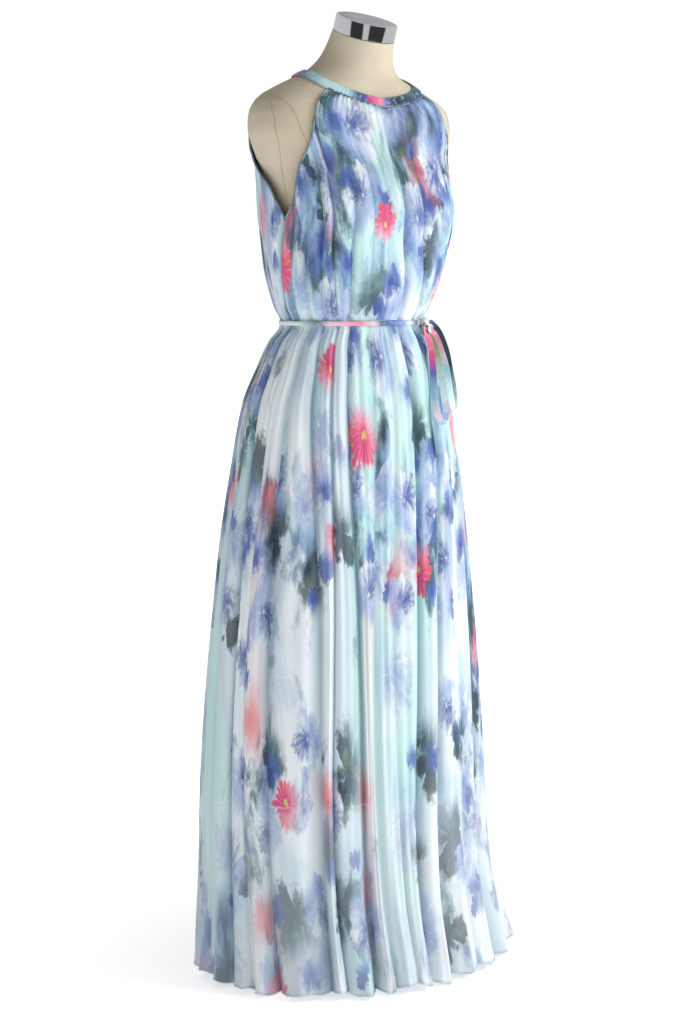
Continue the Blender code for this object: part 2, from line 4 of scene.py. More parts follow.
import bmesh
import bpy
import numpy as np
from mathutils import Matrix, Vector


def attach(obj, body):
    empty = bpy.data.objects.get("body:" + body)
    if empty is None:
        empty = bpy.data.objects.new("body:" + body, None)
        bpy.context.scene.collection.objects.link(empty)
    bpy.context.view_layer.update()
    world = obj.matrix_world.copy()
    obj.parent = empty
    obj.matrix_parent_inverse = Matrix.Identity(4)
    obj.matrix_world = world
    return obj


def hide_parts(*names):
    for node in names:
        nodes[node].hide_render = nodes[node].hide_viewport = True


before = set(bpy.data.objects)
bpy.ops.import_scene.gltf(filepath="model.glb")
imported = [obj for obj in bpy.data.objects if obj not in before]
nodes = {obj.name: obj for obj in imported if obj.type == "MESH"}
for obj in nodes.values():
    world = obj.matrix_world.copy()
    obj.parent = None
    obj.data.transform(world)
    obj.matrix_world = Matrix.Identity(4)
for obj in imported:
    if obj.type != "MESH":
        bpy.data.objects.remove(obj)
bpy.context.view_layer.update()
fullTurn = 2 * math.pi
print("frame loaded:", len(nodes), "nodes")

# camera, to the right of the dress's front and a little above its waist
view = {"azimuth": -38, "distance": 3.3, "height": 1.08, "aim": 0.719, "focalPixels": 2089, "imageHeight": 1021,
        "sensor": 24}


def linkObject(name, data):
    item = bpy.data.objects.new(name, data)
    bpy.context.scene.collection.objects.link(item)
    return item


def standRound(item, look):
    # places a camera or lamp round the dress and turns it to a height on the dress's axis
    turn = math.radians(look["azimuth"])
    item.location = (math.sin(turn) * look["distance"], -math.cos(turn) * look["distance"], look["height"])
    way = Vector((0, 0, look["aim"])) - item.location
    item.rotation_euler = way.to_track_quat("-Z", "Y").to_euler()


def placeCamera():
    lens = bpy.data.cameras.new("view")
    lens.sensor_fit = "VERTICAL"
    lens.sensor_height = view["sensor"]
    lens.lens = view["focalPixels"] / view["imageHeight"] * view["sensor"]
    camera = linkObject("view", lens)
    standRound(camera, view)
    bpy.context.scene.camera = camera


placeCamera()

# shapes shared by the pieces, in metres and degrees; angle 0 is the centre front, growing to +X
# height, half width, reach to the front, reach to the back, squareness, tilt
formRows = np.array([
    (0.82, 0.148, 0.1, 0.112, 2, 0), (0.9, 0.142, 0.098, 0.108, 2, 0), (0.96, 0.125, 0.09, 0.093, 2, 0),
    (1.017, 0.11, 0.086, 0.08, 2, 0), (1.08, 0.122, 0.1, 0.086, 2, 0), (1.14, 0.136, 0.122, 0.093, 2, 0),
    (1.19, 0.144, 0.135, 0.098, 2, 0), (1.24, 0.155, 0.12, 0.1, 2, 0), (1.275, 0.167, 0.106, 0.098, 2.15, 0),
    (1.314, 0.179, 0.094, 0.09, 2.4, 1), (1.332, 0.178, 0.0885, 0.084, 2.5, 2),
    (1.35, 0.171, 0.083, 0.076, 2.5, 3.5), (1.361, 0.16, 0.0795, 0.07, 2.45, 4.5),
    (1.372, 0.14, 0.0755, 0.065, 2.35, 5.5), (1.388, 0.104, 0.071, 0.059, 2.2, 7),
    (1.402, 0.075, 0.0685, 0.05, 2.05, 9), (1.421, 0.0575, 0.0715, 0.0365, 2, 12),
    (1.439, 0.0505, 0.0762, 0.0245, 2, 16), (1.457, 0.0475, 0.0815, 0.0135, 2, 20),
])
# height, half width, reach to the front, reach to the back
dressRows = np.array([
    (0.008, 0.26, 0.222, 0.193), (0.14, 0.245, 0.184, 0.193), (0.278, 0.237, 0.168, 0.192),
    (0.467, 0.224, 0.157, 0.183), (0.657, 0.205, 0.144, 0.168), (0.799, 0.185, 0.133, 0.149),
    (0.894, 0.169, 0.124, 0.134), (0.941, 0.153, 0.116, 0.116), (0.989, 0.132, 0.1015, 0.099),
    (1.0125, 0.1165, 0.0955, 0.0865), (1.0215, 0.1165, 0.0955, 0.0865), (1.039, 0.126, 0.103, 0.09),
    (1.058, 0.133, 0.11, 0.094), (1.096, 0.145, 0.123, 0.099), (1.134, 0.152, 0.131, 0.102),
    (1.185, 0.158, 0.145, 0.111), (1.24, 0.164, 0.129, 0.108), (1.29, 0.178, 0.1045, 0.0995),
])
liningRows = np.array([
    (0.29, 0.217, 0.152, 0.174), (0.47, 0.205, 0.142, 0.166), (0.66, 0.189, 0.131, 0.153),
    (0.8, 0.171, 0.122, 0.137), (0.9, 0.153, 0.113, 0.12), (0.98, 0.1265, 0.097, 0.095),
    (1.0125, 0.1149, 0.0939, 0.0849), (1.0215, 0.1149, 0.0939, 0.0849),
])
# height, share of the folds' full depth
growthRows = np.array([
    (0.008, 1.25), (0.28, 1.1), (0.55, 1), (0.8, 0.85), (0.94, 0.62), (0.99, 0.45), (1.0125, 0.34), (1.0215, 0.34),
    (1.04, 0.42), (1.1, 0.6), (1.19, 0.55), (1.3, 0.28), (1.4, 0.1),
])
# valleys between folds: angle at five heights, then the depth of the fold that follows
foldLevels = (0.008, 0.55, 1.017, 1.19, 1.36)
frontValleys = np.array([
    (-83, -84, -90, -79, -70, 0.01), (-73, -77, -78, -72, -62, 0.009), (-62, -66, -67, -62, -53, 0.008),
    (-40, -41, -54, -52, -45, 0.01), (-34.5, -35.5, -42, -46, -38.5, 0.011), (-22.5, -23.5, -33, -33, -31, 0.01),
    (-17.5, -18, -17, -22, -20, 0.009), (-9, -9, -5, -13, -10, 0.011), (-2, 3.5, 9, -3, -1, 0.012),
    (7, 16, 28, 11, 9, 0.012), (20, 29, 40, 26, 19, 0.012), (35, 42, 54, 40, 31, 0.01),
    (52, 56, 66, 48, 38.5, 0.012), (68, 70, 78, 56, 45, 0.01), (83, 84, 90, 79, 70, 0),
])
backValleys = np.array([
    (-97, -96, -90, -101, -114, 0.01), (-83, -82, -77, -82, -68, 0.012), (-68, -68, -65, -60, -44, 0.009),
    (-57, -56, -54, -48, -37, 0.012), (-41, -41, -42, -40, -30, 0.01), (-30, -29, -30, -29, -25, 0.012),
    (-13, -14, -16, -14, -12, 0.009), (-1, -2, -2, -1, -1, 0.012), (15, 14, 13, 14, 11, 0.01),
    (27, 27, 26, 26, 21, 0.012), (43, 42, 40, 40, 29, 0.009), (55, 55, 53, 47, 37, 0.012),
    (69, 68, 66, 60, 44, 0.01), (83, 82, 78, 81, 68, 0.012), (97, 96, 90, 101, 114, 0),
])
# angle, height of the neckband's lower edge, height of its upper edge
bandRows = np.array([
    (0, 1.3485, 1.3648), (23, 1.3645, 1.3765), (45, 1.3768, 1.3863), (64, 1.3848, 1.3929), (91, 1.3904, 1.399),
    (120, 1.3885, 1.3986), (142, 1.3844, 1.3977), (180, 1.3806, 1.3972),
])
# angle from the panel's middle, height of the armhole's edge
frontArmhole = np.array([
    (38.3, 1.373), (38.9, 1.345), (40.6, 1.3215), (46.5, 1.293), (52.5, 1.2755), (63, 1.246), (72.5, 1.197),
    (80, 1.172),
])
backArmhole = np.array([
    (38.3, 1.384), (42, 1.3463), (50, 1.3091), (62, 1.275), (75, 1.25), (88, 1.225), (94, 1.2), (100, 1.175),
])
clothEase, deepestFold = 0.0042, 0.012
hemHeight, waistHeight, waistTop = 0.008, 1.017, 1.0215
lyingFrom, lyingAbove = 1.24, 1.29


def upTo(value, reach):
    return np.clip(value / reach, 0, 1)


def ease(share):
    return share * share * (3 - 2 * share)


def unit(vectors):
    return vectors / np.linalg.norm(vectors, axis=-1, keepdims=True)


def outwardOf(points):
    return unit(points * (1, 1, 0))


def gapsAlong(points, axis=0):
    return np.linalg.norm(np.diff(points, axis=axis), axis=-1)


def roundTurns(count, whole=360):
    return np.linspace(0, whole, count, endpoint=False)


def curveThrough(xs, ys, slopes, x):
    i = np.clip(np.searchsorted(xs, x, side="right") - 1, 0, len(xs) - 2)
    width = xs[i + 1] - xs[i]
    t = (x - xs[i]) / width
    start = (1 + 2 * t) * (1 - t) ** 2
    lead = t * (1 - t) ** 2 * width * slopes[i]
    trail = t * t * (t - 1) * width * slopes[i + 1]
    return start * ys[i] + (1 - start) * ys[i + 1] + lead + trail


def smoothValue(xs, ys, x):
    # smooth curve through the points with no overshoot between them
    xs, ys = np.asarray(xs, float), np.asarray(ys, float)
    steps = np.diff(ys) / np.diff(xs)
    slopes = np.concatenate([steps[:1], np.zeros(len(xs) - 2), steps[-1:]])
    product, total = steps[:-1] * steps[1:], steps[:-1] + steps[1:]
    rising = product > 0
    slopes[1:-1][rising] = 2 * product[rising] / total[rising]
    return curveThrough(xs, ys, slopes, np.clip(x, xs[0], xs[-1]))


def rowValue(rows, column, x):
    return smoothValue(rows[:, 0], rows[:, column], x)


def formPoint(angle, height):
    halfWidth, front, back, square, tilt = (rowValue(formRows, c, height) for c in range(1, 6))
    sine, cosine = np.sin(np.radians(angle)), np.cos(np.radians(angle))
    x = halfWidth * np.sign(sine) * np.abs(sine) ** (2 / square)
    y = -(back + front) / 2 * np.sign(cosine) * np.abs(cosine) ** (2 / square)
    return np.stack(np.broadcast_arrays(x, (back - front) / 2 + y, height + y * np.tan(np.radians(tilt))), axis=-1)


def offForm(angle, height, out):
    # a point held off the form's skin
    turn, rise = 0.5, 0.0005
    across = formPoint(angle + turn, height) - formPoint(angle - turn, height)
    up = formPoint(angle, height + rise) - formPoint(angle, height - rise)
    return formPoint(angle, height) + unit(np.cross(across, up)) * np.asarray(out)[..., None]


def clothPoint(rows, angle, height, lift=0):
    halfWidth, front, back = (rowValue(rows, c, height) for c in range(1, 4))
    sine, cosine = np.sin(np.radians(angle)), np.cos(np.radians(angle))
    middle, halfDepth = (back - front) / 2, (back + front) / 2
    flat = np.stack(np.broadcast_arrays(halfDepth * sine, -halfWidth * cosine, 0 * height), axis=-1)
    spot = np.broadcast_arrays(halfWidth * sine, middle - halfDepth * cosine, height)
    return np.stack(spot, axis=-1) + unit(flat) * np.asarray(lift)[..., None]


def dressPoint(angle, height, lift):
    # hangs below the bust and lies on the form above it
    share = ease(upTo(height - lyingFrom, lyingAbove - lyingFrom))[:, None]
    return clothPoint(dressRows, angle, height, lift) * (1 - share) + offForm(angle, height, clothEase + lift) * share


def foldsPoint(angle, height, lift):
    return clothPoint(dressRows, angle, height, deepestFold * rowValue(growthRows, 1, height) + lift)


def cornersOf(grid):
    return np.stack((grid[:-1, :-1], grid[1:, :-1], grid[1:, 1:], grid[:-1, 1:]), axis=-1)


def gridFaces(rows, columns, wrapAcross=False, wrapDown=False):
    index = np.arange(rows * columns).reshape(rows, columns)
    if wrapAcross:
        index = np.concatenate([index, index[:, :1]], axis=1)
    if wrapDown:
        index = np.concatenate([index, index[:1]], axis=0)
    return cornersOf(index).reshape(-1, 4).tolist()


def meshPiece(name, points, faces, material, sharp=180):
    mesh = bpy.data.meshes.new(name)
    mesh.from_pydata(np.asarray(points).reshape(-1, 3).tolist(), [], faces)
    mesh.shade_smooth()
    mesh.set_sharp_from_angle(angle=math.radians(sharp))
    mesh.materials.append(material)
    return linkObject(name, mesh)


def finishPiece(piece, slot, *replaced):
    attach(piece, "root")
    if replaced:
        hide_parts(*replaced)


def sweptPiece(name, rings, closed, material, sharp, slot, *replaced):
    # a body through rings of points, joined end to end or capped, facing out
    rings = np.asarray(rings)
    count, around = rings.shape[:2]
    faces = gridFaces(count, around, wrapAcross=True, wrapDown=closed)
    if not closed:
        faces += [list(range(around)), [(count - 1) * around + j for j in reversed(range(around))]]
    piece = meshPiece(name, rings, faces, material, sharp)
    bm = bmesh.new()
    bm.from_mesh(piece.data)
    if bm.calc_volume(signed=True) < 0:
        bmesh.ops.reverse_faces(bm, faces=bm.faces)
    bm.to_mesh(piece.data)
    bm.free()
    finishPiece(piece, slot, *replaced)
    return piece


def setUv(piece, uvs):
    layer = piece.data.uv_layers.new(name="cloth")
    layer.data.foreach_set("uv", np.asarray(uvs, np.float32).ravel())


def thicken(piece, thickness):
    wall = piece.modifiers.new("wall", "SOLIDIFY")
    wall.thickness, wall.offset = thickness, -1


def tint(text):
    # linear colour from six hex digits
    parts = [int(text[i:i + 2], 16) / 255 for i in (0, 2, 4)]
    return tuple(p / 12.92 if p <= 0.04045 else ((p + 0.055) / 1.055) ** 2.4 for p in parts)


palette = {name: tint(text) for name, text in {
    "white": "e9f1f4", "mint": "cbebe6", "aqua": "abdbe2", "sky": "9cc6dd", "lavender": "ccd6e8", "blush": "eccfd8",
    "periwinkle": "879fd4", "mist": "cfdfe9", "violet": "5f72b4", "cornflower": "6083c6", "navy": "4058a0",
    "slate": "44697b", "teal": "365f68", "leaf": "5b8474", "olive": "98ac84", "coral": "ea5f66", "magenta": "d44385",
    # the last colour on the next line, 86a5b6, is painted shade for the fold valleys
    "rose": "ec8fa8", "lemon": "cdca76", "cream": "e6e2b4", "ink": "2c3d46", "denim": "7c97c4", "hollow": "86a5b6",
    # haze and shadow paint the see-through light below the lining's hem, in faint patches
    "haze": "eef4f7", "shadow": "c3d3dc"}.items()}


def operator(operation, swapped=False):
    def apply(self, other):
        return self.graph.maths(operation, *((other, self) if swapped else (self, other)))
    return apply


class Wire:
    # an output socket, so that shader maths reads as plain sums
    __add__, __radd__ = operator("ADD"), operator("ADD", True)
    __sub__, __rsub__ = operator("SUBTRACT"), operator("SUBTRACT", True)
    __mul__, __rmul__ = operator("MULTIPLY"), operator("MULTIPLY", True)
    __truediv__ = operator("DIVIDE")

    def __init__(self, graph, socket):
        self.graph, self.socket = graph, socket

    def also(self, output):
        return Wire(self.graph, self.socket.node.outputs[output])


class Graph:
    # one node tree and the calls that add nodes to it; a colour may be given by its name in the palette
    def __init__(self, tree, family="ShaderNode"):
        self.tree, self.family = tree, family

    def feed(self, socket, value):
        if isinstance(value, Wire):
            self.tree.links.new(value.socket, socket)
        elif socket.type == "RGBA":
            socket.default_value = (*palette.get(value, value), 1)
        else:
            socket.default_value = value

    def add(self, kind, settings=None, sockets=None, output=0):
        node = self.tree.nodes.new(kind if kind.startswith(("Function", "NodeGroup")) else self.family + kind)
        for name, value in (settings or {}).items():
            if name == "stops":
                elements = node.color_ramp.elements
                while len(elements) < len(value):
                    elements.new(0.5)
                for element, (place, colour) in zip(elements, value):
                    element.position, element.color = place, (*palette.get(colour, colour), 1)
            else:
                setattr(node, name, value)
        for name, value in (sockets or {}).items():
            self.feed(node.inputs[name], value)
        return Wire(self, node.outputs[output]) if node.outputs else None

    def maths(self, operation, a, b=0):
        return self.add("Math", {"operation": operation}, {0: a, 1: b})

    def vector(self, operation, a, b=(0, 0, 0), output="Vector"):
        return self.add("VectorMath", {"operation": operation}, {0: a, 1: b}, output)

    def scaled(self, vector, scale, offset=(0, 0, 0)):
        return self.add("VectorMath", {"operation": "MULTIPLY_ADD"}, {0: vector, 1: scale, 2: offset})

    def mix(self, factor, a, b, mode="MIX"):
        return self.add("Mix", {"data_type": "RGBA", "blend_type": mode}, {0: factor, 6: a, 7: b}, 2)

    def step(self, value, low, high):
        return self.add("MapRange", {"interpolation_type": "SMOOTHSTEP"}, {0: value, 1: low, 2: high})

    def ramp(self, value, stops):
        return self.add("ValToRGB", {"stops": stops}, {0: value})

    def noise(self, vector, scale, detail=2, rough=0.5, warp=0):
        return self.add("TexNoise", {}, {"Vector": vector, "Scale": scale, "Detail": detail, "Roughness": rough,
                                         "Distortion": warp}, "Fac")

    def patches(self, cloth, scale, offset, *texture):
        # noise on the cloth, drawn out across and along it
        return self.noise(self.scaled(cloth, (*scale, 0), (*offset, 0)), 1, *texture)

    def split(self, vector):
        x = self.add("SeparateXYZ", {}, {0: vector}, 0)
        return x, x.also(1), x.also(2)

    def join(self, x, y, z=0):
        return self.add("CombineXYZ", {}, {0: x, 1: y, 2: z})

    def place(self):
        return self.add("TexCoord", {}, {}, "Object")

    def cloth(self):
        return self.add("UVMap", {"uv_map": "cloth"}, {}, "UV")


class Finish(Graph):
    # one material, with its shader's steady values
    def __init__(self, name, constants):
        self.material = bpy.data.materials.new(name)
        self.material.use_nodes = True
        super().__init__(self.material.node_tree)
        self.shader = self.tree.nodes["Principled BSDF"]
        for socket, value in constants.items():
            self.feed(self.shader.inputs[socket], value)

    def paint(self, colour):
        self.feed(self.shader.inputs["Base Color"], colour)

    def bump(self, height, strength, distance):
        made = self.add("Bump", {}, {"Height": height, "Strength": strength, "Distance": distance})
        self.feed(self.shader.inputs["Normal"], made)


# how closely the flowers stand: bands along the cloth, from the hem to the bust, broken up by a drifting noise
densityLook = {
    "from": -1.05, "to": 0.42, "drift": 3.5, "thin": 2.02, "bodice": 0.25, "bodiceFrom": 0, "bodiceTo": 0.1,
    "bands": [(0, 0.35), (0.08, 0.8), (0.22, 0.8), (0.33, 0.45), (0.46, 0.95), (0.56, 0.6), (0.68, 0.45), (0.78, 1),
              (1, 1)]}


def onBodice(finish, along):
    return finish.step(along, densityLook["bodiceFrom"], densityLook["bodiceTo"])


def printDensity(finish, cloth):
    look = densityLook
    across, along, _ = finish.split(cloth)
    level = finish.add("MapRange", {}, {0: along, 1: look["from"], 2: look["to"]})
    bands = finish.ramp(level, [(place, (share,) * 3) for place, share in look["bands"]])
    drift = finish.noise(finish.join(across * 4.6, along * 2.6), 1, 1)
    return bands + onBodice(finish, along) * look["bodice"] + drift * look["drift"] - look["thin"]


def flowerLayer(finish, cloth, ground, look):
    # one ragged bloom, or a spray of leaves, in each cell of a loose grid
    step, mix, maths, vector = finish.step, finish.mix, finish.maths, finish.vector
    cell, petals, core = look["cell"], look["petals"], look["core"]
    spread = finish.scaled(cloth, (1 / cell, 1 / cell, 0), look["offset"])
    centre = finish.add("TexVoronoi", {"voronoi_dimensions": "2D"},
                        {"Vector": spread, "Scale": 1, "Randomness": look["scatter"]}, "Position")
    dice1, dice2, dice3 = finish.split(centre.also("Color"))
    local = vector("SUBTRACT", spread, centre)
    x, y, _ = finish.split(local)
    size = look["radius"] / cell * (0.7 + 0.5 * dice3)
    out = vector("LENGTH", local, output="Value") / size
    lean = dice2 * fullTurn
    toward = (x * maths("COSINE", lean) + y * maths("SINE", lean)) / size
    ragged = finish.noise(cloth, look["raggedScale"], 3, 0.65) - 0.5
    turn = maths("ARCTAN2", y, x) / fullTurn + dice2
    petal = turn * petals
    number = maths("FLOORED_MODULO", maths("FLOOR", petal), petals)
    across = maths("ABSOLUTE", maths("FRACT", petal) - 0.5)
    luck = finish.add("TexWhiteNoise", {"noise_dimensions": "2D"},
                      {"Vector": finish.join(number, dice1 * 91.7)}, "Value")
    tip = 1 - look["uneven"] * luck - look["notch"] * across * across
    # one flank of a bloom is crisp and the other melts into the ground
    soft = look["soft"] * (0.5 + 1.6 * dice3) * (0.6 + 1.8 * step(toward, -0.5, 1))
    body = step((tip - out + ragged * look["ragged"]) / soft, -0.5, 0.5)
    body = body * (1 - look["fade"] * step(toward + ragged, 0, 1))
    spots = vector("MULTIPLY", centre, (cell, cell, 0))
    spots = vector("SUBTRACT", spots, tuple(o * cell for o in look["offset"]))
    present = step(printDensity(finish, spots) * look["chance"] - dice1, 0, 0.03)
    streaks = finish.noise(finish.join(turn * look["streaks"], out * 1.4, dice1 * 9), 1, 2)
    paint = mix(step(toward + streaks - 0.5, -0.6, 0.6), look["rimA"], look["rimB"])
    paint = mix(step(streaks, 0.5, 0.74) * look["light"], paint, look["lightTint"])
    rays = look["spread"] - out - toward * look["lop"] + (streaks - 0.5) * look["rays"] + ragged * 0.5
    paint = mix(step(rays, -0.22, 0.28) * look["depth"], paint, look["heart"])
    edge = step(across, 0.34, 0.5) * step(out, 0.15, 0.5)
    paint = mix(edge * look["gap"], paint, look["gapTint"])
    if core:
        ring = step(core * 1.7 - out + ragged * 0.3, 0, 0.14) * 0.8
        paint = mix(ring, paint, look["coreRing"])
        paint = mix(step(core - out + ragged * 0.3, 0, 0.09), paint, look["coreTint"])
    return mix(body * present * look["strength"], ground, paint)


# sizes in metres of cloth; the rest are shares of a bloom's radius or of full strength
pansyLook = {
    "cell": 0.148, "offset": (17.2, 5.4, 0), "scatter": 0.85, "radius": 0.062, "petals": 6, "uneven": 0.22,
    "notch": 0.7, "ragged": 0.55, "raggedScale": 75, "soft": 0.13, "fade": 0.8, "chance": 1.35, "strength": 0.96,
    "gap": 0.2, "gapTint": "sky", "streaks": 30, "light": 0.35, "lightTint": "white", "rimA": "white",
    "rimB": "periwinkle", "spread": 0.24, "lop": 0.8, "rays": 0.5, "depth": 0.95, "heart": "navy", "core": 0.07,
    "coreRing": "lavender", "coreTint": "cream",
}
palePansyLook = dict(
    pansyLook, cell=0.19, offset=(9.4, 11.2, 0), radius=0.088, petals=5, strength=0.75, soft=0.35, chance=1.5,
    rimB="sky", heart="cornflower", depth=0.7)
blotLook = dict(
    pansyLook, cell=0.105, offset=(3.9, 7.7, 0), radius=0.036, petals=5, uneven=0.5, ragged=0.9, soft=0.5, chance=1,
    strength=0.85, fade=0.95, gap=0, light=0, rimA="violet", rimB="cornflower", rays=0.2, core=0)
leafLook = dict(
    pansyLook, cell=0.17, offset=(3.3, 8.1, 0), radius=0.066, petals=5, uneven=0.65, notch=1.1, ragged=0.95,
    raggedScale=48, soft=0.26, chance=1.15, strength=0.85, gap=0, streaks=7, light=0.45, lightTint="olive",
    rimA="ink", rimB="teal", spread=0.3, heart="ink", depth=0.5, core=0)
daisyLook = dict(
    pansyLook, cell=0.235, offset=(6.7, 2.9, 0), scatter=0.75, radius=0.054, petals=17, uneven=0.26, notch=0.55,
    ragged=0.45, raggedScale=60, soft=0.2, fade=0.82, chance=0.8, strength=0.95, gap=0.34, gapTint="blush",
    streaks=22, light=0.4, lightTint="blush", rimA="coral", rimB="rose", spread=0.42, lop=0.55, rays=0.6, depth=0.9,
    heart="magenta", core=0.15, coreRing="coral", coreTint="lemon")
softRoseLook = dict(
    daisyLook, cell=0.215, offset=(1.7, 14.9, 0), radius=0.05, petals=5, soft=0.9, strength=0.7, chance=0.9,
    light=0.1, ragged=0.6, gap=0, core=0, heart="coral")
printLook = {"gathered": 1.42, "smear": 0.028, "bodiceTint": 0.085, "blush": 0.55, "sky": 0.55, "inks": 0.92,
             "ink": 0.8}


def printColour(finish, cloth):
    # washes, then leaves, pansies and daisies laid over each other like wet paint; gathering narrows it all
    look, step, mix, patches = printLook, finish.step, finish.mix, finish.patches
    smear = patches(cloth, (70, 2.5), (3, 1)) - 0.5
    cloth = finish.scaled(cloth, (look["gathered"], 1, 0))
    cloth = finish.vector("ADD", cloth, finish.join(0, smear * look["smear"]))
    shade = patches(cloth, (1.7, 0.85), (0, 0), 2, 0.55, 0.6)
    shade = shade + onBodice(finish, finish.split(cloth)[1]) * look["bodiceTint"]
    ground = finish.ramp(shade, [
        (0.3, "lavender"), (0.37, "white"), (0.46, "white"), (0.52, "mist"), (0.58, "mint"), (0.74, "aqua")])
    rosy = patches(cloth, (4.4, 1.6), (9, 2), 1)
    ground = mix(step(rosy, 0.58, 0.74) * look["blush"], ground, "blush")
    dense = printDensity(finish, cloth)
    cloud = patches(cloth, (6, 4), (4, 7), 4, 0.62, 0.5) + dense * 0.15
    ground = mix(step(cloud, 0.56, 0.84) * look["sky"], ground, "sky")
    hue = patches(cloth, (6, 5), (8, 1), 1)
    inks = mix(step(hue, 0.42, 0.56), "denim", "slate")
    wet = patches(cloth, (10, 6.5), (2, 3), 5, 0.64, 0.4) + dense * 0.2
    ground = mix(step(wet, 0.6, 0.75) * look["inks"], ground, inks)
    ground = mix(step(wet, 0.71, 0.84) * look["ink"], ground, "ink")
    for flower in (softRoseLook, palePansyLook, leafLook, pansyLook, blotLook, daisyLook):
        ground = flowerLayer(finish, cloth, ground, flower)
    return ground


# the first value is the strength of the painted shade in the fold valleys; pale is the strength of the painted
# see-through light below the lining's hem
chiffonLook = {"hollow": 0.75, "liningHem": 0.296, "wave": 0.024, "pale": 0.2, "edge": 0.35, "relief": 0.0012}


def chiffonFinish():
    # printed chiffon: painted shade darkens it in its fold hollows, and painted see-through light makes it paler
    # below the lining's hem, whose edge shows as a faint line
    look = chiffonLook
    finish = Finish("printed_chiffon_look", {"Roughness": 0.72, "Sheen Weight": 0.15, "Sheen Roughness": 0.45,
                                             "Specular IOR Level": 0.25})
    cloth, spot = finish.cloth(), finish.place()
    # painted shade: the print is multiplied toward blue-grey where the folds' valleys lie deep
    hollow = finish.add("Attribute", {"attribute_name": "hollow"}, {}, "Fac")
    colour = finish.mix(hollow * look["hollow"], printColour(finish, cloth), "hollow", "MULTIPLY")
    # painted light: below the lining's hem the print is washed toward pale haze, with faint shadowy patches, as if
    # light from behind showed through the sheer cloth
    drift = finish.patches(spot, (9, 9), (0, 0), 0)
    edge = finish.split(spot)[2] - look["liningHem"] + drift * look["wave"]
    ghost = finish.patches(cloth, (7, 4), (5, 5), 3, 0.6)
    pale = finish.mix(finish.step(ghost, 0.42, 0.66), "haze", "shadow")
    colour = finish.mix(finish.step(edge, 0.008, -0.012) * look["pale"], colour, pale)
    line = finish.step(finish.maths("ABSOLUTE", edge - 0.003), 0.003, 0)
    finish.paint(finish.mix(line * finish.step(drift, 0.4, 0.6) * look["edge"], colour, "white"))
    crepe, crinkle = finish.patches(cloth, (900, 900), (0, 0)), finish.patches(cloth, (150, 22), (0, 0), 3, 0.6)
    finish.bump(crepe * 0.35 + crinkle, 0.35, look["relief"])
    return finish.material


# size of the mottling and crinkles, how far colours run into each other, and the paler patches over them
bandStrip = {"lengthways": False, "mottle": 110, "run": 0.035, "pale": (0.5, 0.72), "share": 0.45, "crinkle": 260,
             "relief": 0.0009}
tieStrip = dict(bandStrip, mottle=60)
bowStrip = {"lengthways": True, "mottle": 70, "run": 0.16, "pale": (0.52, 0.66), "share": 0.5, "crinkle": 300,
            "relief": 0.0008}


def stripFinish(name, look, stops):
    # printed strip whose colours change along its length, or round the body in degrees from the centre front
    finish = Finish(name, {"Roughness": 0.7, "Sheen Weight": 0.12, "Specular IOR Level": 0.25})
    spot = finish.place()
    mottle = finish.noise(spot, look["mottle"], 3, 0.6, 0.3)
    if look["lengthways"]:
        across, place, _ = finish.split(finish.cloth())
        pale = finish.noise(finish.join(across * 3, place * 2), 1, 2)
    else:
        x, y, _ = finish.split(spot)
        place, pale = finish.maths("ARCTAN2", x, 0 - y) / fullTurn + 0.5, mottle
        stops = [((angle + 180) / 360, colour) for angle, colour in stops]
    ramp = finish.ramp(place + (mottle - 0.5) * look["run"], stops)
    finish.paint(finish.mix(finish.step(pale, *look["pale"]) * look["share"], ramp, "white"))
    finish.bump(finish.noise(spot, 900) * 0.4 + finish.noise(spot, look["crinkle"]), 0.35, look["relief"])
    return finish.material


def plainFinish(name, base, second, patch, rough, metal, grain, relief):
    finish = Finish(name, {"Roughness": rough, "Metallic": metal})
    spot = finish.place()
    finish.paint(finish.mix(finish.step(finish.noise(spot, patch, 3, 0.6), 0.35, 0.65), tint(base), tint(second)))
    finish.bump(finish.noise(spot, grain), 0.5, relief)
    return finish.material


chiffon = chiffonFinish()
# two colours, size of their patches, roughness, metal, size and depth of the grain
linen, slip, chrome, satin, steel, seamLinen, thread, binding, edging = (plainFinish(*row) for row in (
    ("form_linen_look", "d2c7b2", "c9bda6", 9, 0.85, 0, 900, 0.0004),
    ("lining_look", "e6f0f2", "dbe8ec", 12, 0.6, 0, 700, 0.0003),
    ("cap_chrome_look", "e4e6e8", "d9dbde", 20, 0.08, 1, 300, 0.00002),
    ("cap_top_look", "b4b6ba", "abadb1", 14, 0.5, 0.3, 500, 0.00005),
    ("stand_steel_look", "b9bcc0", "a9acb1", 30, 0.32, 1, 400, 0.0001),
    ("form_seam_look", "b3a78f", "a69a83", 30, 0.9, 0, 900, 0.0003),
    ("thread_look", "c9dbe2", "b4c9d4", 40, 0.6, 0, 900, 0.0001),
    ("binding_look", "5d747c", "7f9fb2", 60, 0.7, 0, 600, 0.0003),
    ("edging_look", "dfe9ee", "b9d3de", 30, 0.7, 0, 600, 0.0003)))
bandChiffon = stripFinish("band_chiffon_look", bandStrip, [
    (-180, "aqua"), (-128, "sky"), (-114, "coral"), (-99, "rose"), (-90, "periwinkle"), (-74, "sky"), (-60, "mint"),
    (-40, "aqua"), (-31, "slate"), (-24, "navy"), (-17, "magenta"), (-4, "rose"), (4, "violet"), (13, "ink"),
    (60, "slate"), (90, "leaf"), (180, "aqua")])
tieChiffon = stripFinish("tie_chiffon_look", tieStrip, [
    (-180, "mint"), (-120, "white"), (-88, "white"), (-78, "mint"), (-62, "leaf"), (-54, "blush"), (-30, "rose"),
    (-16, "blush"), (-10, "slate"), (-2, "violet"), (14, "periwinkle"), (24, "white"), (34, "slate"), (40, "mist"),
    (45, "blush"), (51, "slate"), (58, "white"), (110, "sky"), (180, "mint")])
print("materials built")

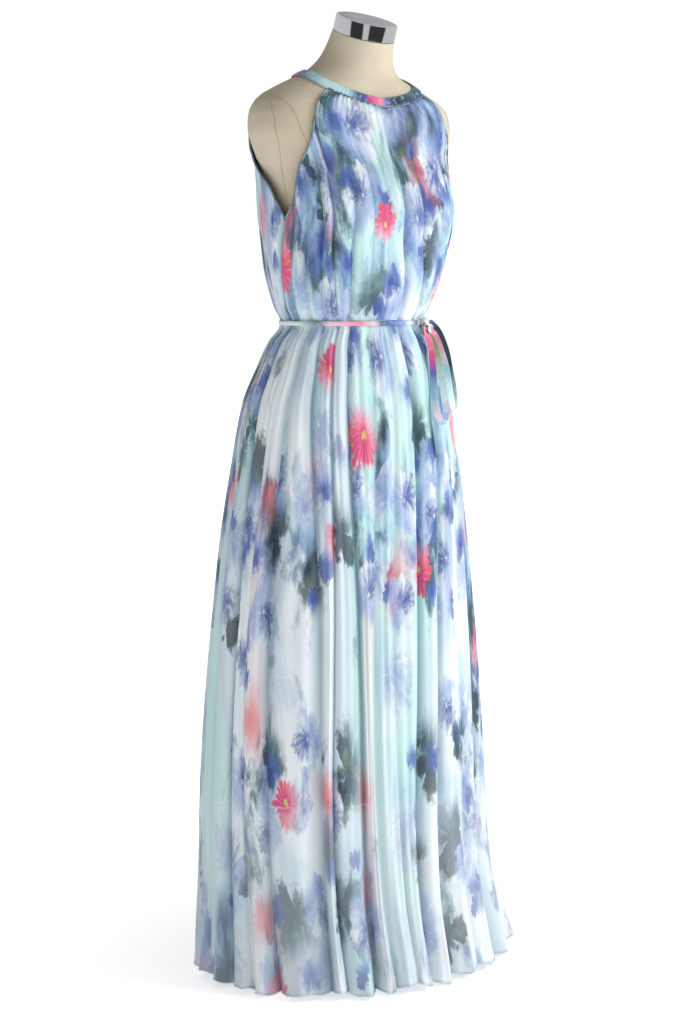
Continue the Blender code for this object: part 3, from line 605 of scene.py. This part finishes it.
# the bow's cords, each for the tie node of its name: routes as angle, height and lift off the folds, how each
# leaves the knot, and its colours from there outward
bow = {"width": 0.011, "thickness": 0.0016, "step": 0.004, "neck": 0.018, "pinch": 0.42, "waver": 0.1, "taper": 0.45,
       "twist": 0.35, "cup": 0.0009, "loopFacing": 0.85, "tailFacing": 0.3, "facingReach": 0.03, "sides": 14}
knotShape = {"angle": 42, "size": (0.019, 0.011, 0.016), "clearance": 0.0013, "tie": 0.0026, "gap": 0.0003,
             "fullness": 0.53}
bowRoutes = {
    "bow_loop_right": {
        "exits": ((6, 0.45), (-36, 0.42)),
        "tints": [(0, "slate"), (0.08, "ink"), (0.28, "ink"), (0.38, "slate"), (0.46, "mist"), (0.54, "white"),
                  (0.64, "mint"), (0.72, "sky"), (0.82, "blush"), (0.93, "rose"), (1, "blush")],
        "route": [(50, 1.016, 0.017), (51, 0.998, 0.0215), (50, 0.97, 0.019), (49, 0.94, 0.013), (48, 0.905, 0.0085),
                  (46, 0.886, 0.007), (43.5, 0.882, 0.007), (41.5, 0.892, 0.008), (40.5, 0.92, 0.01),
                  (41.5, 0.955, 0.013), (44, 0.985, 0.015), (48.3, 1.006, 0.015)]},
    "bow_loop_left": {
        "exits": ((190, 0.2), (-138, 0.5)),
        "tints": [(0, "ink"), (0.05, "rose"), (0.2, "magenta"), (0.27, "violet"), (0.38, "sky"), (0.46, "blush"),
                  (0.53, "periwinkle"), (0.62, "white"), (0.74, "mint"), (0.85, "olive"), (1, "ink")],
        "route": [(34.5, 1.013, 0.011), (29.5, 0.985, 0.014), (24.5, 0.955, 0.013), (20.5, 0.92, 0.0125),
                  (19, 0.89, 0.012), (21, 0.87, 0.011), (24.5, 0.864, 0.01), (28, 0.873, 0.01), (29.5, 0.9, 0.011),
                  (30.5, 0.935, 0.013), (33, 0.97, 0.015), (35, 1.002, 0.0155)]},
    "bow_tail_long": {
        "exits": ((-112, -0.15),),
        "tints": [(0, "white"), (0.3, "lavender"), (0.6, "sky"), (1, "slate")],
        "route": [(38.5, 0.998, 0.006), (34, 0.98, 0.0045), (28, 0.95, 0.0035), (22, 0.91, 0.003), (19, 0.87, 0.003),
                  (19, 0.84, 0.003), (19.5, 0.808, 0.003)]},
    "bow_tail_short": {
        "exits": ((-76, -0.12),),
        "tints": [(0, "rose"), (0.3, "blush"), (0.6, "aqua"), (1, "slate")],
        "route": [(44, 0.998, 0.006), (45, 0.98, 0.0045), (46, 0.95, 0.0035), (45, 0.915, 0.003),
                  (44.5, 0.896, 0.003)]},
}


def knotFrame():
    # the knot's middle, and its directions along the tie, outward and up
    lift = knotShape["tie"] + knotShape["gap"] + knotShape["size"][1] / 2
    centre = foldsPoint(knotShape["angle"], waistHeight, lift)
    outward = unit(centre - foldsPoint(knotShape["angle"], waistHeight, 0))
    up = np.array((0, 0, 1))
    return centre, np.array((np.cross(up, outward), outward, up))


def knotExit(turn, out):
    centre, axes = knotFrame()
    parts = unit(np.array((math.cos(math.radians(turn)), out, math.sin(math.radians(turn)))))
    reach = 0.5 / np.linalg.norm(parts / knotShape["size"])
    return centre + parts @ axes * (reach + knotShape["clearance"])


def cordPath(spec):
    # evenly spaced points of a smooth curve from the knot along the route, and back if it loops
    first, *last = (knotExit(*e) for e in spec["exits"])
    stops = np.array([first, *(foldsPoint(*spot) for spot in spec["route"]), *last])
    reach = np.concatenate([[0], np.cumsum(gapsAlong(stops))])
    slopes = np.empty_like(stops)
    slopes[1:-1] = (stops[2:] - stops[:-2]) / (reach[2:] - reach[:-2])[:, None]
    slopes[0] = (stops[1] - stops[0]) / reach[1]
    slopes[-1] = (stops[-1] - stops[-2]) / (reach[-1] - reach[-2])
    x = np.linspace(0, reach[-1], round(reach[-1] / bow["step"]) + 1)
    return np.stack([curveThrough(reach, stops[:, c], slopes[:, c], x) for c in range(3)], axis=1)


def ribbonRings(path, width, twist, facing):
    # cross-sections of a soft flat ribbon, lying on the dress or turned by its share towards the dress's front
    tangent = unit(np.gradient(path, axis=0))
    outward = outwardOf(path) * (1 - facing)[:, None] + np.array((-0.62, -0.78, 0)) * facing[:, None]
    outward = unit(outward - tangent * np.sum(outward * tangent, axis=1, keepdims=True))
    side = np.cross(tangent, outward)
    cosine, sine = np.cos(twist)[:, None], np.sin(twist)[:, None]
    flat, out = side * cosine + outward * sine, outward * cosine - side * sine
    rings = []
    for a in roundTurns(bow["sides"], fullTurn):
        high = math.sin(a) * bow["thickness"] / 2 + bow["cup"] * (math.cos(a) ** 2 - 0.5)
        rings.append(path + flat * (math.cos(a) * width / 2)[:, None] + out * high)
    return np.stack(rings, axis=1)


def ribbonUv(piece, rings):
    # u round the ribbon, v its share of the way from the knot
    count, around = rings.shape[:2]
    loops = np.empty(len(piece.data.loops), np.int32)
    piece.data.loops.foreach_get("vertex_index", loops)
    setUv(piece, np.stack([loops % around / around, loops // around / (count - 1)], axis=1))


def bowRibbons():
    for number, (name, spec) in enumerate(bowRoutes.items()):
        path = cordPath(spec)
        length = float(gapsAlong(path).sum())
        s = np.linspace(0, 1, len(path))
        loops = len(spec["exits"]) > 1
        near = (np.minimum(s, 1 - s) if loops else s) * length
        width = bow["width"] * (bow["pinch"] + (1 - bow["pinch"]) * upTo(near, bow["neck"]) ** 0.7)
        width = width * (1 + bow["waver"] * np.sin(s * 19 + number)) * (1 if loops else 1 - bow["taper"] * s)
        twist = bow["twist"] * np.sin(s * math.pi * (3 if loops else 2) + number * 1.3)
        facing = bow["loopFacing" if loops else "tailFacing"] * upTo(near, bow["facingReach"])
        rings = ribbonRings(path, width, twist, facing)
        finish = stripFinish(name + "_look", bowStrip, spec["tints"])
        piece = sweptPiece(name, rings, False, finish, 60, "tie_chiffon", name.replace("bow", "tie"))
        ribbonUv(piece, rings)


bowRibbons()
print("bow ribbons made")

# the dress's two panels; fills are the valleys that nearly close up, by place in their table, and how far
panels = {
    "chiffon_front": {
        "node": "dress_front", "valleys": frontValleys, "armhole": frontArmhole, "middle": 0, "seed": 11,
        "shift": 5.7, "fills": {1: 0.75, 4: 0.2, 6: 0.45, 7: 0.65, 10: 0.65, 12: 0.4, 13: 0.6}},
    "chiffon_back": {
        "node": "dress_back", "valleys": backValleys, "armhole": backArmhole, "middle": 180, "seed": 12,
        "shift": 2.3, "fills": {1: 0.65, 3: 0.5, 5: 0.7, 6: 0.2, 8: 0.65, 10: 0.4, 12: 0.35, 13: 0.75}},
}
# two values near the end set the painted shade in the fold valleys: how far down a valley it starts, and the fold
# depth that gives it full strength
panelLook = {
    "samples": 17, "bodiceRows": 74, "skirtRows": 124, "crowding": 0.14, "halvings": 24, "thickness": 0.0009,
    "seamTrim": 0.0002, "bandTrim": 0.0005, "seamCalm": 0.6, "crest": 2.6, "skew": 0.5, "leanRange": (0.6, 1.3),
    "deepRange": (0.35, 1), "seamDepth": 0.5, "fillReach": 0.02, "crease": 1.6, "tuck": 0.0022,
    "tuckReach": 0.004, "gatherDepth": 0.0011, "gatherReach": 0.055, "waistDepth": 0.001, "waistReach": 0.05,
    "tieReach": 0.012, "hemDepth": 0.026, "hemReach": 0.42, "hemLift": 0.0022, "hemSwing": 0.004,
    "fluteDepth": 0.0038, "fluteReach": 0.06, "ripple": 0.001, "bodiceRipple": 0.35, "wander": 0.55,
    "bodiceWander": 0.3, "armholeDepth": 0.25, "armholeReach": 0.05, "foldShadeFrom": 0.12, "foldShadeDepth": 0.007,
    "spare": 1.02, "stretch": 1.45,
}


def edgeHeight(spec, angle):
    # the panel's upper edge, at an angle from its middle
    away = np.abs(angle)
    neck = rowValue(bandRows, 1, np.abs(spec["middle"] - away)) - panelLook["bandTrim"]
    return np.where(away > spec["armhole"][0, 0], rowValue(spec["armhole"], 1, away), neck)


def foldAngle(spec, k, across, height):
    start, end = (smoothValue(foldLevels, spec["valleys"][i, :5], height) for i in (k, k + 1))
    return start + (end - start) * across


def columnTop(spec, k, t):
    # where a column meets the upper edge, found by halving
    low, high = waistHeight, formRows[-1, 0]
    for _ in range(panelLook["halvings"]):
        trial = (low + high) / 2
        if trial < edgeHeight(spec, foldAngle(spec, k, t, trial)):
            low = trial
        else:
            high = trial
    return low


def valleyDice(spec, count):
    # how far each valley fills, how deep it is at the hem, which way its fold leans, and its phases
    look, rng = panelLook, np.random.default_rng(spec["seed"])
    deep = rng.uniform(*look["deepRange"], count)
    deep[[0, -1]] = look["seamDepth"]
    filled = np.array([spec["fills"].get(k, 0) for k in range(count)])
    lean = rng.choice((-1, 1), count) * rng.uniform(*look["leanRange"], count)
    return filled, deep * (1.15 - filled), lean, rng.uniform(0, fullTurn, (count, 3))


def foldColumn(spec, dice, k, t, top, heights):
    # one column of the sheet, t of the way from valley k to the next, and how hollow it is, which sets the painted
    # shade of its fold valley
    look, (filled, deep, lean, phase) = panelLook, dice
    fromHem, below, fromWaist = heights - hemHeight, top - heights, np.abs(heights - waistHeight)
    bodice = heights > waistTop
    across = k + t
    free = min(1, min(across, len(deep) - 1 - across) / look["seamCalm"])
    wave = across * fullTurn
    # each fold leans to one side, so that one flank is steep and the other gentle
    leaning = look["skew"] * lean[k] * np.sin(heights * 2.3 + phase[k, 2])
    rise = 1 - np.abs(2 * np.power(t, np.exp(leaning)) - 1) ** look["crest"]
    nearest = filled[k if t < 0.5 else k + 1]
    rise = rise + (1 - rise) * nearest * np.clip(fromHem / look["fillReach"], 0.6, 1)
    growth = rowValue(growthRows, 1, heights)
    depth = spec["valleys"][k, 5] * growth
    # main creases go deeper towards the hem, each valley by its own amount
    reach = (1 - upTo(fromHem, look["hemReach"])) ** 1.5
    left, right = max(0, 1 - 2 * t) ** look["crease"], max(0, 2 * t - 1) ** look["crease"]
    lift = rise * depth - look["hemDepth"] * reach * (deep[k] * left + deep[k + 1] * right)
    # gathers under the neckband and at the tie, flutes at the hem and small ripples between the folds
    gather = np.sin(wave * 3.1 + phase[k, 0]) + 0.6 * np.sin(wave * 5.3 + 1.3)
    lift = lift + free * look["gatherDepth"] * gather * np.exp(-below / look["gatherReach"])
    wrinkle = np.sin(wave * 2.7 + 0.8) + 0.5 * np.sin(wave * 4.6 + phase[k, 1])
    wrinkle = wrinkle * upTo(fromWaist, look["tieReach"]) * np.exp(-fromWaist / look["waistReach"])
    flute = np.sin(wave * 1.35 + 2 * math.sin(k * 1.7)) * (1 - upTo(fromHem, look["fluteReach"])) ** 2
    ripple = np.sin(wave * 1.9 + 5 * np.sin(heights * 2.1 + k))
    ripple = ripple + 0.7 * np.sin(wave * 3.3 - 4 * np.sin(heights * 3.2))
    ripple = ripple * growth * np.where(bodice, look["bodiceRipple"], 1)
    lift = lift + free * (look["waistDepth"] * wrinkle + look["fluteDepth"] * flute + look["ripple"] * ripple)
    if abs(foldAngle(spec, k, t, top)) > spec["armhole"][0, 0]:
        lift = lift * (look["armholeDepth"] + (1 - look["armholeDepth"]) * upTo(below, look["armholeReach"]))
    else:
        lift = lift - look["tuck"] * np.exp(-below / look["tuckReach"])
    sway = np.sin(heights * 7.5 + phase[k, 0]) * (1 - t) + np.sin(heights * 7.5 + phase[k + 1, 0]) * t
    calm = upTo(fromWaist, 0.1) * upTo(below, 0.15) * np.where(bodice, look["bodiceWander"], 1)
    angle = foldAngle(spec, k, t, heights) + look["wander"] * free * sway * calm
    spot = dressPoint(spec["middle"] + angle, heights, lift)
    spot[:, 2] += free * (look["hemLift"] * flute + look["hemSwing"] * np.sin(wave * 0.31 + 1.2) * reach)
    # the second value is the painted shade for the fold valleys, strongest deep in a valley where the fold's rise is
    # low
    return spot, np.clip(1 - rise - look["foldShadeFrom"], 0, 1) * upTo(depth, look["foldShadeDepth"])


def panelGrid(spec):
    # columns of each fold, from the neckband or armhole down to the hem
    look, folds = panelLook, len(spec["valleys"]) - 1
    n = look["samples"]
    bodice, down = np.linspace(1, 0, look["bodiceRows"], endpoint=False), np.linspace(0, 1, look["skirtRows"])
    down = waistTop + (hemHeight - waistTop) * (down + look["crowding"] * (ease(down) - down))
    dice = valleyDice(spec, folds + 1)
    made = []
    for place in range(folds * n + 1):
        k = min(place // n, folds - 1)
        t = (place - k * n) / n
        top = columnTop(spec, k, t)
        made.append(foldColumn(spec, dice, k, t, top, np.concatenate([waistTop + bodice * (top - waistTop), down])))
    return (np.stack(column, axis=1) for column in zip(*made))


def dressPanel(name, spec):
    look = panelLook
    points, hollow = panelGrid(spec)
    rows, columns = points.shape[:2]
    for end, side in ((0, 1), (-1, -1)):
        points[:, end] += np.cross((0, 0, 1), outwardOf(points[:, end])) * side * look["seamTrim"]
    piece = meshPiece(name, points, gridFaces(rows, columns), chiffon)
    # the print is laid on the flat cloth: each fold shows its own middle strip of it
    gaps, down = gapsAlong(points, 1), gapsAlong(points)
    waist, n = look["bodiceRows"], look["samples"]
    along = np.concatenate([np.zeros((1, columns)), -np.cumsum(down, axis=0)])
    along = along - along[waist]
    us = np.zeros((rows - 1, columns - 1, 4))
    # the bodice is gathered apart from the skirt, so its strips lie closer together
    for part in (slice(0, waist), slice(waist, rows)):
        start = spec["shift"]
        for first in range(0, columns - 1, n):
            span = gaps[:, first:first + n]
            width = span.sum(axis=1)
            most = width[part.start:min(part.stop + 1, rows)].max() * look["spare"]
            arc = np.concatenate([np.zeros((rows, 1)), np.cumsum(span, axis=1)], axis=1) - width[:, None] / 2
            u = start + most / 2 + arc * np.minimum(look["stretch"], most / width)[:, None]
            us[part, first:first + n] = cornersOf(u)[part]
            start += most
    setUv(piece, np.stack([us, cornersOf(along)], axis=-1))
    # the painted shade of the fold valleys goes onto the points, for the chiffon's colour
    layer = piece.data.attributes.new("hollow", "FLOAT", "POINT")
    layer.data.foreach_set("value", hollow.astype(np.float32).ravel())
    thicken(piece, look["thickness"])
    finishPiece(piece, "printed_chiffon", spec["node"])
    width, length = start - spec["shift"], float(-along[-1].min() + along[0].max())
    return points


frontPoints, backPoints = (dressPanel(name, spec) for name, spec in panels.items())

# the cut is given as shares of the girth at the hem and in metres down
liningLook = {"columns": 120, "rows": 70, "waves": 9, "waveDepth": 0.004, "frontDrop": 0.01, "thickness": 0.0008,
              "cutGirth": 1.02, "cutLength": 0.74, "meanGirth": 0.8, "meanLength": 0.73}


def liningPiece():
    look = liningLook
    hem, waist = liningRows[0, 0], liningRows[-1, 0]
    heights = np.linspace(waist, hem, look["rows"])[:, None]
    angles = roundTurns(look["columns"])[None]
    share = (waist - heights) / (waist - hem)
    lift = look["waveDepth"] * share * np.sin(np.radians(angles * look["waves"]))
    heights, angles, lift, share = np.broadcast_arrays(heights, angles, lift, share)
    points = clothPoint(liningRows, angles, heights, lift)
    points[..., 2] -= look["frontDrop"] * share * np.cos(np.radians(angles))
    piece = meshPiece("slip_lining", points, gridFaces(*points.shape[:2], wrapAcross=True), slip)
    thicken(piece, look["thickness"])
    finishPiece(piece, "lining_cloth", "lining")


liningPiece()

# the profile runs round the band: share of the way up it, share of the way out
bandLook = {
    "columns": 360, "clearance": 0.0008, "thickness": 0.0024, "pucker": 0.00035,
    "profile": [(0, 0), (0.5, 0), (1, 0), (1, 0.55), (0.94, 0.92), (0.72, 1), (0.5, 1.03), (0.28, 1), (0.06, 0.92),
                (0, 0.55)]}


def onBand(angles, up, out):
    away = np.minimum(angles, 360 - angles)
    low, high = rowValue(bandRows, 1, away), rowValue(bandRows, 2, away)
    return offForm(angles, low + (high - low) * up, bandLook["clearance"] + out)


def neckbandPiece():
    look, angles, rings = bandLook, roundTurns(bandLook["columns"]), []
    for up, out in look["profile"]:
        pucker = look["pucker"] * out * (np.sin(angles * 1.9 + up * 2) + 0.7 * np.sin(angles * 4.3 - up * 3))
        rings.append(onBand(angles, up, look["thickness"] * out * 0.97 + pucker))
    sweptPiece("neckband_chiffon", np.stack(rings, axis=1), True, bandChiffon, 50, "band_chiffon", "neckband")


neckbandPiece()

tieLook = {"columns": 480, "sides": 16, "width": 0.007, "thickness": 0.0026, "gap": 0.0003, "wrinkle": 0.15,
           "crinkle": 0.12}


def waistTiePiece():
    look, angles, rings = tieLook, roundTurns(tieLook["columns"]), []
    for a in roundTurns(look["sides"], fullTurn):
        fold = look["wrinkle"] * np.sin(np.radians(angles * 31) + 2.2 * math.sin(a))
        fold = fold + look["crinkle"] * np.sin(np.radians(angles * 53) + 3 * a)
        out = look["thickness"] * (0.5 + 0.5 * math.cos(a)) * (0.92 + fold * max(0, math.cos(a)))
        point = foldsPoint(angles, waistHeight, look["gap"] + out)
        point[:, 2] += math.sin(a) * look["width"] / 2
        rings.append(point)
    sweptPiece("waist_tie_chiffon", np.stack(rings, axis=1), True, tieChiffon, 60, "tie_chiffon", "waist_tie")


def knotPiece():
    # a wrapped, uneven ball of cloth
    centre, axes = knotFrame()
    along, outward, up = np.array(knotShape["size"]) * knotShape["fullness"]
    rings, turns = [], roundTurns(40, fullTurn)
    for polar in np.linspace(0.06, math.pi - 0.06, 26):
        wrap = math.sin(polar) * (1 + 0.07 * np.sin(3 * turns + 5 * polar) + 0.05 * math.sin(9 * polar))
        ring = (along * math.cos(polar) + 0 * turns, outward * np.cos(turns) * wrap, up * np.sin(turns) * wrap)
        rings.append(centre + np.stack(ring, axis=1) @ axes)
    sweptPiece("bow_knot", rings, False, tieChiffon, 80, "tie_chiffon", "tie_knot")


waistTiePiece()
knotPiece()
print("dress made")

# the dress form: its torso has more rows where the shoulders turn into the neck
torsoLook = {"columns": 144, "rows": 130, "shoulder": (1.3, 1.43, 60)}
capLook = {"radius": 0.0482, "height": 0.0245, "rim": 0.003, "gap": 0.0003, "segments": 96}


def torsoPiece():
    heights = np.linspace(formRows[0, 0], formRows[-1, 0], torsoLook["rows"])
    heights = np.unique(np.concatenate([heights, np.linspace(*torsoLook["shoulder"])]))
    rings = [formPoint(roundTurns(torsoLook["columns"]), height) for height in heights]
    sweptPiece("linen_torso", rings, False, linen, 50, "form_linen", "form_torso")


def neckCap():
    # a ring with a rounded rim and a flat top inside it, leaning with the neck
    radius, height = capLook["radius"], capLook["height"]
    inner = radius - capLook["rim"] - 0.0004
    ring = [(radius - 0.0009, 0), (radius, 0.0009), (radius, height - 0.0012), (radius - 0.0003, height - 0.0004),
            (radius - 0.0012, height), (radius - capLook["rim"], height), (inner, height - 0.0009)]
    disc = [(inner, height - 0.003), (inner, height - 0.0006), (inner - 0.0008, height - 0.0001),
            (inner * 0.5, height + 0.0001), (inner * 0.05, height + 0.0001)]
    lean, turns = math.radians(formRows[-1, 5]), roundTurns(capLook["segments"], fullTurn)[:, None]
    axis, forward = np.array((0, -math.sin(lean), math.cos(lean))), np.array((0, math.cos(lean), math.sin(lean)))
    base = np.array((0, (formRows[-1, 3] - formRows[-1, 2]) / 2, formRows[-1, 0])) + axis * capLook["gap"]
    circle = np.cos(turns) * (1, 0, 0) + np.sin(turns) * forward
    for name, profile, material, *replaced in (("cap_ring", ring, chrome, "form_neck_cap"), ("cap_top", disc, satin)):
        rings = [base + circle * r + axis * h for r, h in profile]
        sweptPiece(name, rings, False, material, 35, "cap_chrome", *replaced)


torsoPiece()
neckCap()
for name in ("form_pole", "form_base"):
    for holder in nodes[name].material_slots:
        holder.material = steel
print("form made")

# edges, seams and stitches, each following its own paths; the sizes here are the trees' own
edgeSizes = {"Radius": 0.0011, "Sides": 8, "Spacing": 0.004, "Length": 0.0028, "Seed": 7}


def pathTree(name, stitched):
    # a round edge swept along the paths, or a row of stitches lying on them
    tree = bpy.data.node_groups.new(name, "GeometryNodeTree")
    kinds = {"Paths": "Geometry", "Radius": "Float", "Sides": "Int", "Spacing": "Float", "Length": "Float",
             "Seed": "Int", "Finish": "Material"}
    for port, kind in kinds.items():
        socket = tree.interface.new_socket(port, in_out="INPUT", socket_type="NodeSocket" + kind)
        if port in edgeSizes:
            socket.default_value = edgeSizes[port]
    tree.interface.new_socket("Shape", in_out="OUTPUT", socket_type="NodeSocketGeometry")
    graph = Graph(tree, "GeometryNode")
    source = graph.add("NodeGroupInput", {}, {}, "Paths")
    sides, radius = source.also("Sides"), source.also("Radius")
    curve = graph.add("MeshToCurve", {}, {"Mesh": source})
    if stitched:
        curve = graph.add("ResampleCurve", {"mode": "LENGTH"}, {"Curve": curve, "Length": source.also("Spacing")})
        stitch = graph.add("MeshCylinder", {},
                           {"Vertices": sides, "Radius": radius, "Depth": source.also("Length")})
        way = graph.add("InputTangent")
        turned = graph.add("FunctionNodeAlignRotationToVector", {"axis": "Z"}, {"Vector": way})
        uneven = graph.add("FunctionNodeRandomValue", {"data_type": "FLOAT"},
                           {2: 0.8, 3: 1.1, "Seed": source.also("Seed")}, 1)
        shape = graph.add("InstanceOnPoints", {},
                          {"Points": curve, "Instance": stitch, "Rotation": turned, "Scale": uneven})
    else:
        ring = graph.add("CurvePrimitiveCircle", {}, {"Resolution": sides, "Radius": radius})
        shape = graph.add("CurveToMesh", {}, {"Curve": curve, "Profile Curve": ring, "Fill Caps": True})
    shape = graph.add("RealizeInstances", {}, {"Geometry": shape})
    shape = graph.add("SetShadeSmooth", {}, {"Geometry": shape})
    shape = graph.add("SetMaterial", {}, {"Geometry": shape, "Material": source.also("Finish")})
    graph.add("NodeGroupOutput", {}, {"Shape": shape})
    return tree


def pathPiece(name, paths, tree, material, slot, sizes, closed=False):
    points, edges = [], []
    for path in paths:
        first = len(points)
        points += [tuple(p) for p in path]
        edges += [(i, i + 1) for i in range(first, len(points) - 1)]
        if closed:
            edges.append((len(points) - 1, first))
    mesh = bpy.data.meshes.new(name)
    mesh.from_pydata(points, edges, [])
    guide = linkObject(name + "_guide", mesh)
    modifier = guide.modifiers.new("along", "NODES")
    modifier.node_group = tree
    ports = {item.name: item.identifier for item in tree.interface.items_tree if item.in_out == "INPUT"}
    for port, value in dict(sizes, Finish=material).items():
        modifier[ports[port]] = value
    bpy.context.view_layer.update()
    ready = guide.evaluated_get(bpy.context.evaluated_depsgraph_get())
    made = bpy.data.meshes.new_from_object(ready)
    bpy.data.objects.remove(guide)
    finishPiece(linkObject(name, made), slot)


sweptEdge, stitchRow = pathTree("sweptEdge", False), pathTree("stitchRow", True)
sewing = {
    "hem": {"Radius": 0.0012, "Sides": 8}, "seam": {"Radius": 0.0007, "Sides": 8},
    "binding": {"Radius": 0.0015, "Sides": 8}, "formSeam": {"Radius": 0.0005, "Sides": 6},
    "hemStitch": {"Radius": 0.00022, "Spacing": 0.0036, "Length": 0.0024, "Sides": 5},
    "bandStitch": {"Radius": 0.00022, "Spacing": 0.0034, "Length": 0.0022, "Sides": 5}}
# how far the hem and its stitches sit up and out, the seams in, and how far under the band a binding starts
sewingGaps = {"hemUp": 0.0006, "stitchUp": 0.0042, "stitchOut": 0.0002, "seamIn": 0.0004, "underBand": 0.008}


def armholeRuns(points):
    # the two stretches of a panel's upper edge that lie along the armholes
    top = points[0]
    turns = np.degrees(np.arctan2(top[:, 0], -top[:, 1]))
    high = rowValue(bandRows, 1, np.abs((turns + 180) % 360 - 180)) - sewingGaps["underBand"]
    low, half = top[:, 2] < high, len(top) // 2
    return [top[:half][low[:half]], top[half:][low[half:]]]


def dressEdges():
    slot, gaps = "printed_chiffon", sewingGaps
    hems, hemStitches, seams = [], [], []
    for points in (frontPoints, backPoints):
        edge, outward = points[-1], outwardOf(points[-1])
        hems.append(edge - outward * panelLook["thickness"] / 2 + (0, 0, gaps["hemUp"]))
        hemStitches.append(edge + unit(points[-2] - edge) * gaps["stitchUp"] + outward * gaps["stitchOut"])
    for column in (0, -1):
        middle = (frontPoints[:, column] + backPoints[:, -1 - column]) / 2
        seams.append(middle - outwardOf(middle) * gaps["seamIn"])
    pathPiece("rolled_hem", hems, sweptEdge, edging, slot, sewing["hem"])
    pathPiece("hem_stitches", hemStitches, stitchRow, thread, slot, sewing["hemStitch"])
    pathPiece("side_seams", seams, sweptEdge, edging, slot, sewing["seam"])
    bindings = armholeRuns(frontPoints) + armholeRuns(backPoints)
    pathPiece("armhole_bindings", bindings, sweptEdge, binding, slot, sewing["binding"])


def bandStitches():
    rows = [onBand(roundTurns(360), up, bandLook["thickness"] * 0.99) for up in (0.13, 0.88)]
    pathPiece("band_stitches", rows, stitchRow, thread, "band_chiffon", sewing["bandStitch"], closed=True)


# angle and height of one arm plate's seam, from its back over the shoulder to its front, and of the upright seam
plateSeam = np.array([
    (-146, 1.262), (-138, 1.292), (-128, 1.316), (-118, 1.333), (-108, 1.344), (-98, 1.3505), (-92, 1.3555),
    (-84, 1.359), (-76, 1.3575), (-68, 1.353), (-60, 1.3465), (-54.5, 1.334), (-51, 1.312), (-50.5, 1.285),
    (-53, 1.255),
])
uprightSeam = np.array([
    (-81, 1.356), (-76, 1.34), (-72, 1.322), (-71.5, 1.299), (-74, 1.274), (-78.5, 1.247), (-83, 1.202),
    (-84, 1.185),
])


def formSeams():
    # each arm plate's seam, the upright seam below it and a short one down the back of the neck
    paths = []
    for side in (-1, 1):
        for table in (plateSeam, uprightSeam):
            share, fine = np.arange(len(table)), np.linspace(0, len(table) - 1, 90)
            turn, level = (smoothValue(share, table[:, c], fine) for c in (0, 1))
            paths.append(formPoint(-side * turn, level))
    paths.append(formPoint(180, np.linspace(1.402, 1.456, 24)))
    pathPiece("form_seams", paths, sweptEdge, seamLinen, "form_linen", sewing["formSeam"])


dressEdges()
bandStitches()
formSeams()
print("edges, seams and stitches made")

# floor, lamps and room; angles are from the dress's front, growing to +X
# the last three values set the floor's painted glow: its strength by the dress and the distances over which it rises
# to full white
floorLook = {"drop": 0.0002, "rings": (0.5, 14), "sides": 96, "near": 0.58, "glowFrom": 0.15, "glowTo": 1.2}
lamps = {
    "key": {"power": 54, "size": 1.4, "azimuth": 42, "distance": 3, "height": 2.4, "aim": 0.8},
    "fill": {"power": 1, "size": 2.4, "azimuth": -85, "distance": 3.4, "height": 1.8, "aim": 0.7},
    "rear": {"power": 14, "size": 2, "azimuth": 170, "distance": 3.4, "height": 2.6, "aim": 0.8},
}
roomLook = {"dark": 0.06, "sideLight": 0.66, "sideWay": (0.66, -0.62, 0.42), "backLight": 0.2,
            "backWay": (-0.8, -0.6, 0.1), "mirrored": 0.62, "stands": 0.58, "behind": 1.05}


def stageFloor():
    look = floorLook
    turns = roundTurns(look["sides"], fullTurn)
    circle = np.stack([np.cos(turns), np.sin(turns), 0 * turns], axis=1)
    rings = [circle * r - (0, 0, look["drop"]) for r in look["rings"]]
    faces = gridFaces(2, look["sides"], wrapAcross=True) + [list(range(look["sides"]))]
    finish = Finish("floor_paper", {"Roughness": 0.9, "Specular IOR Level": 0.1, "Emission Strength": 1})
    spot = finish.place()
    finish.paint(finish.mix(finish.noise(spot, 6, 3), tint("f4f4f4"), tint("efefef")))
    # painted light: the paper glows, dimly near the dress so that its shadow fades, and brightens away from it until
    # it is lost in the white behind
    far = finish.step(finish.vector("LENGTH", spot, output="Value"), look["glowFrom"], look["glowTo"])
    finish.feed(finish.shader.inputs["Emission Color"], finish.mix(far, (look["near"],) * 3, (1, 1, 1)))
    floor = meshPiece("floor", rings, faces, finish.material)
    floor.visible_glossy = False


def softLight(name, look):
    lamp = bpy.data.lights.new(name, "AREA")
    lamp.energy, lamp.size, lamp.shape = look["power"], look["size"], "DISK"
    item = linkObject(name, lamp)
    item.visible_glossy = False
    standRound(item, look)


def studioWorld():
    # plain white behind the object, a graded room for what lights it and dark stands for the cap to mirror
    look = roomLook
    world = bpy.data.worlds.new("studio")
    world.use_nodes = True
    graph = Graph(world.node_tree)
    way = graph.add("TexCoord", {}, {}, "Generated")
    side, back = (graph.vector("DOT_PRODUCT", way, look[port], "Value") for port in ("sideWay", "backWay"))
    room = look["dark"] + look["sideLight"] * graph.step(side, -0.2, 0.85)
    room = room + look["backLight"] * graph.step(back, 0.7, 0.95)
    x, y, z = graph.split(way)
    turn = graph.maths("ARCTAN2", x, 0 - y) * (180 / math.pi)
    left = graph.step(graph.maths("ABSOLUTE", turn + 68), 25, 21)
    right = graph.step(graph.maths("ABSOLUTE", turn - 9), 34, 30)
    stands = (left + right) * graph.step(graph.maths("ABSOLUTE", z), 0.6, 0.45)
    glossy, seen = (graph.add("LightPath", {}, {}, ray) for ray in ("Is Glossy Ray", "Is Camera Ray"))
    room = room * (1 - glossy) + glossy * (look["mirrored"] - look["stands"] * stands)
    holder = graph.tree.nodes["Background"]
    graph.feed(holder.inputs["Color"], (1, 1, 1))
    graph.feed(holder.inputs["Strength"], room * (1 - seen) + seen * look["behind"])
    bpy.context.scene.world = world


stageFloor()
for name, look in lamps.items():
    softLight(name, look)
studioWorld()
bpy.context.scene.view_settings.view_transform = "Standard"
print("studio made")
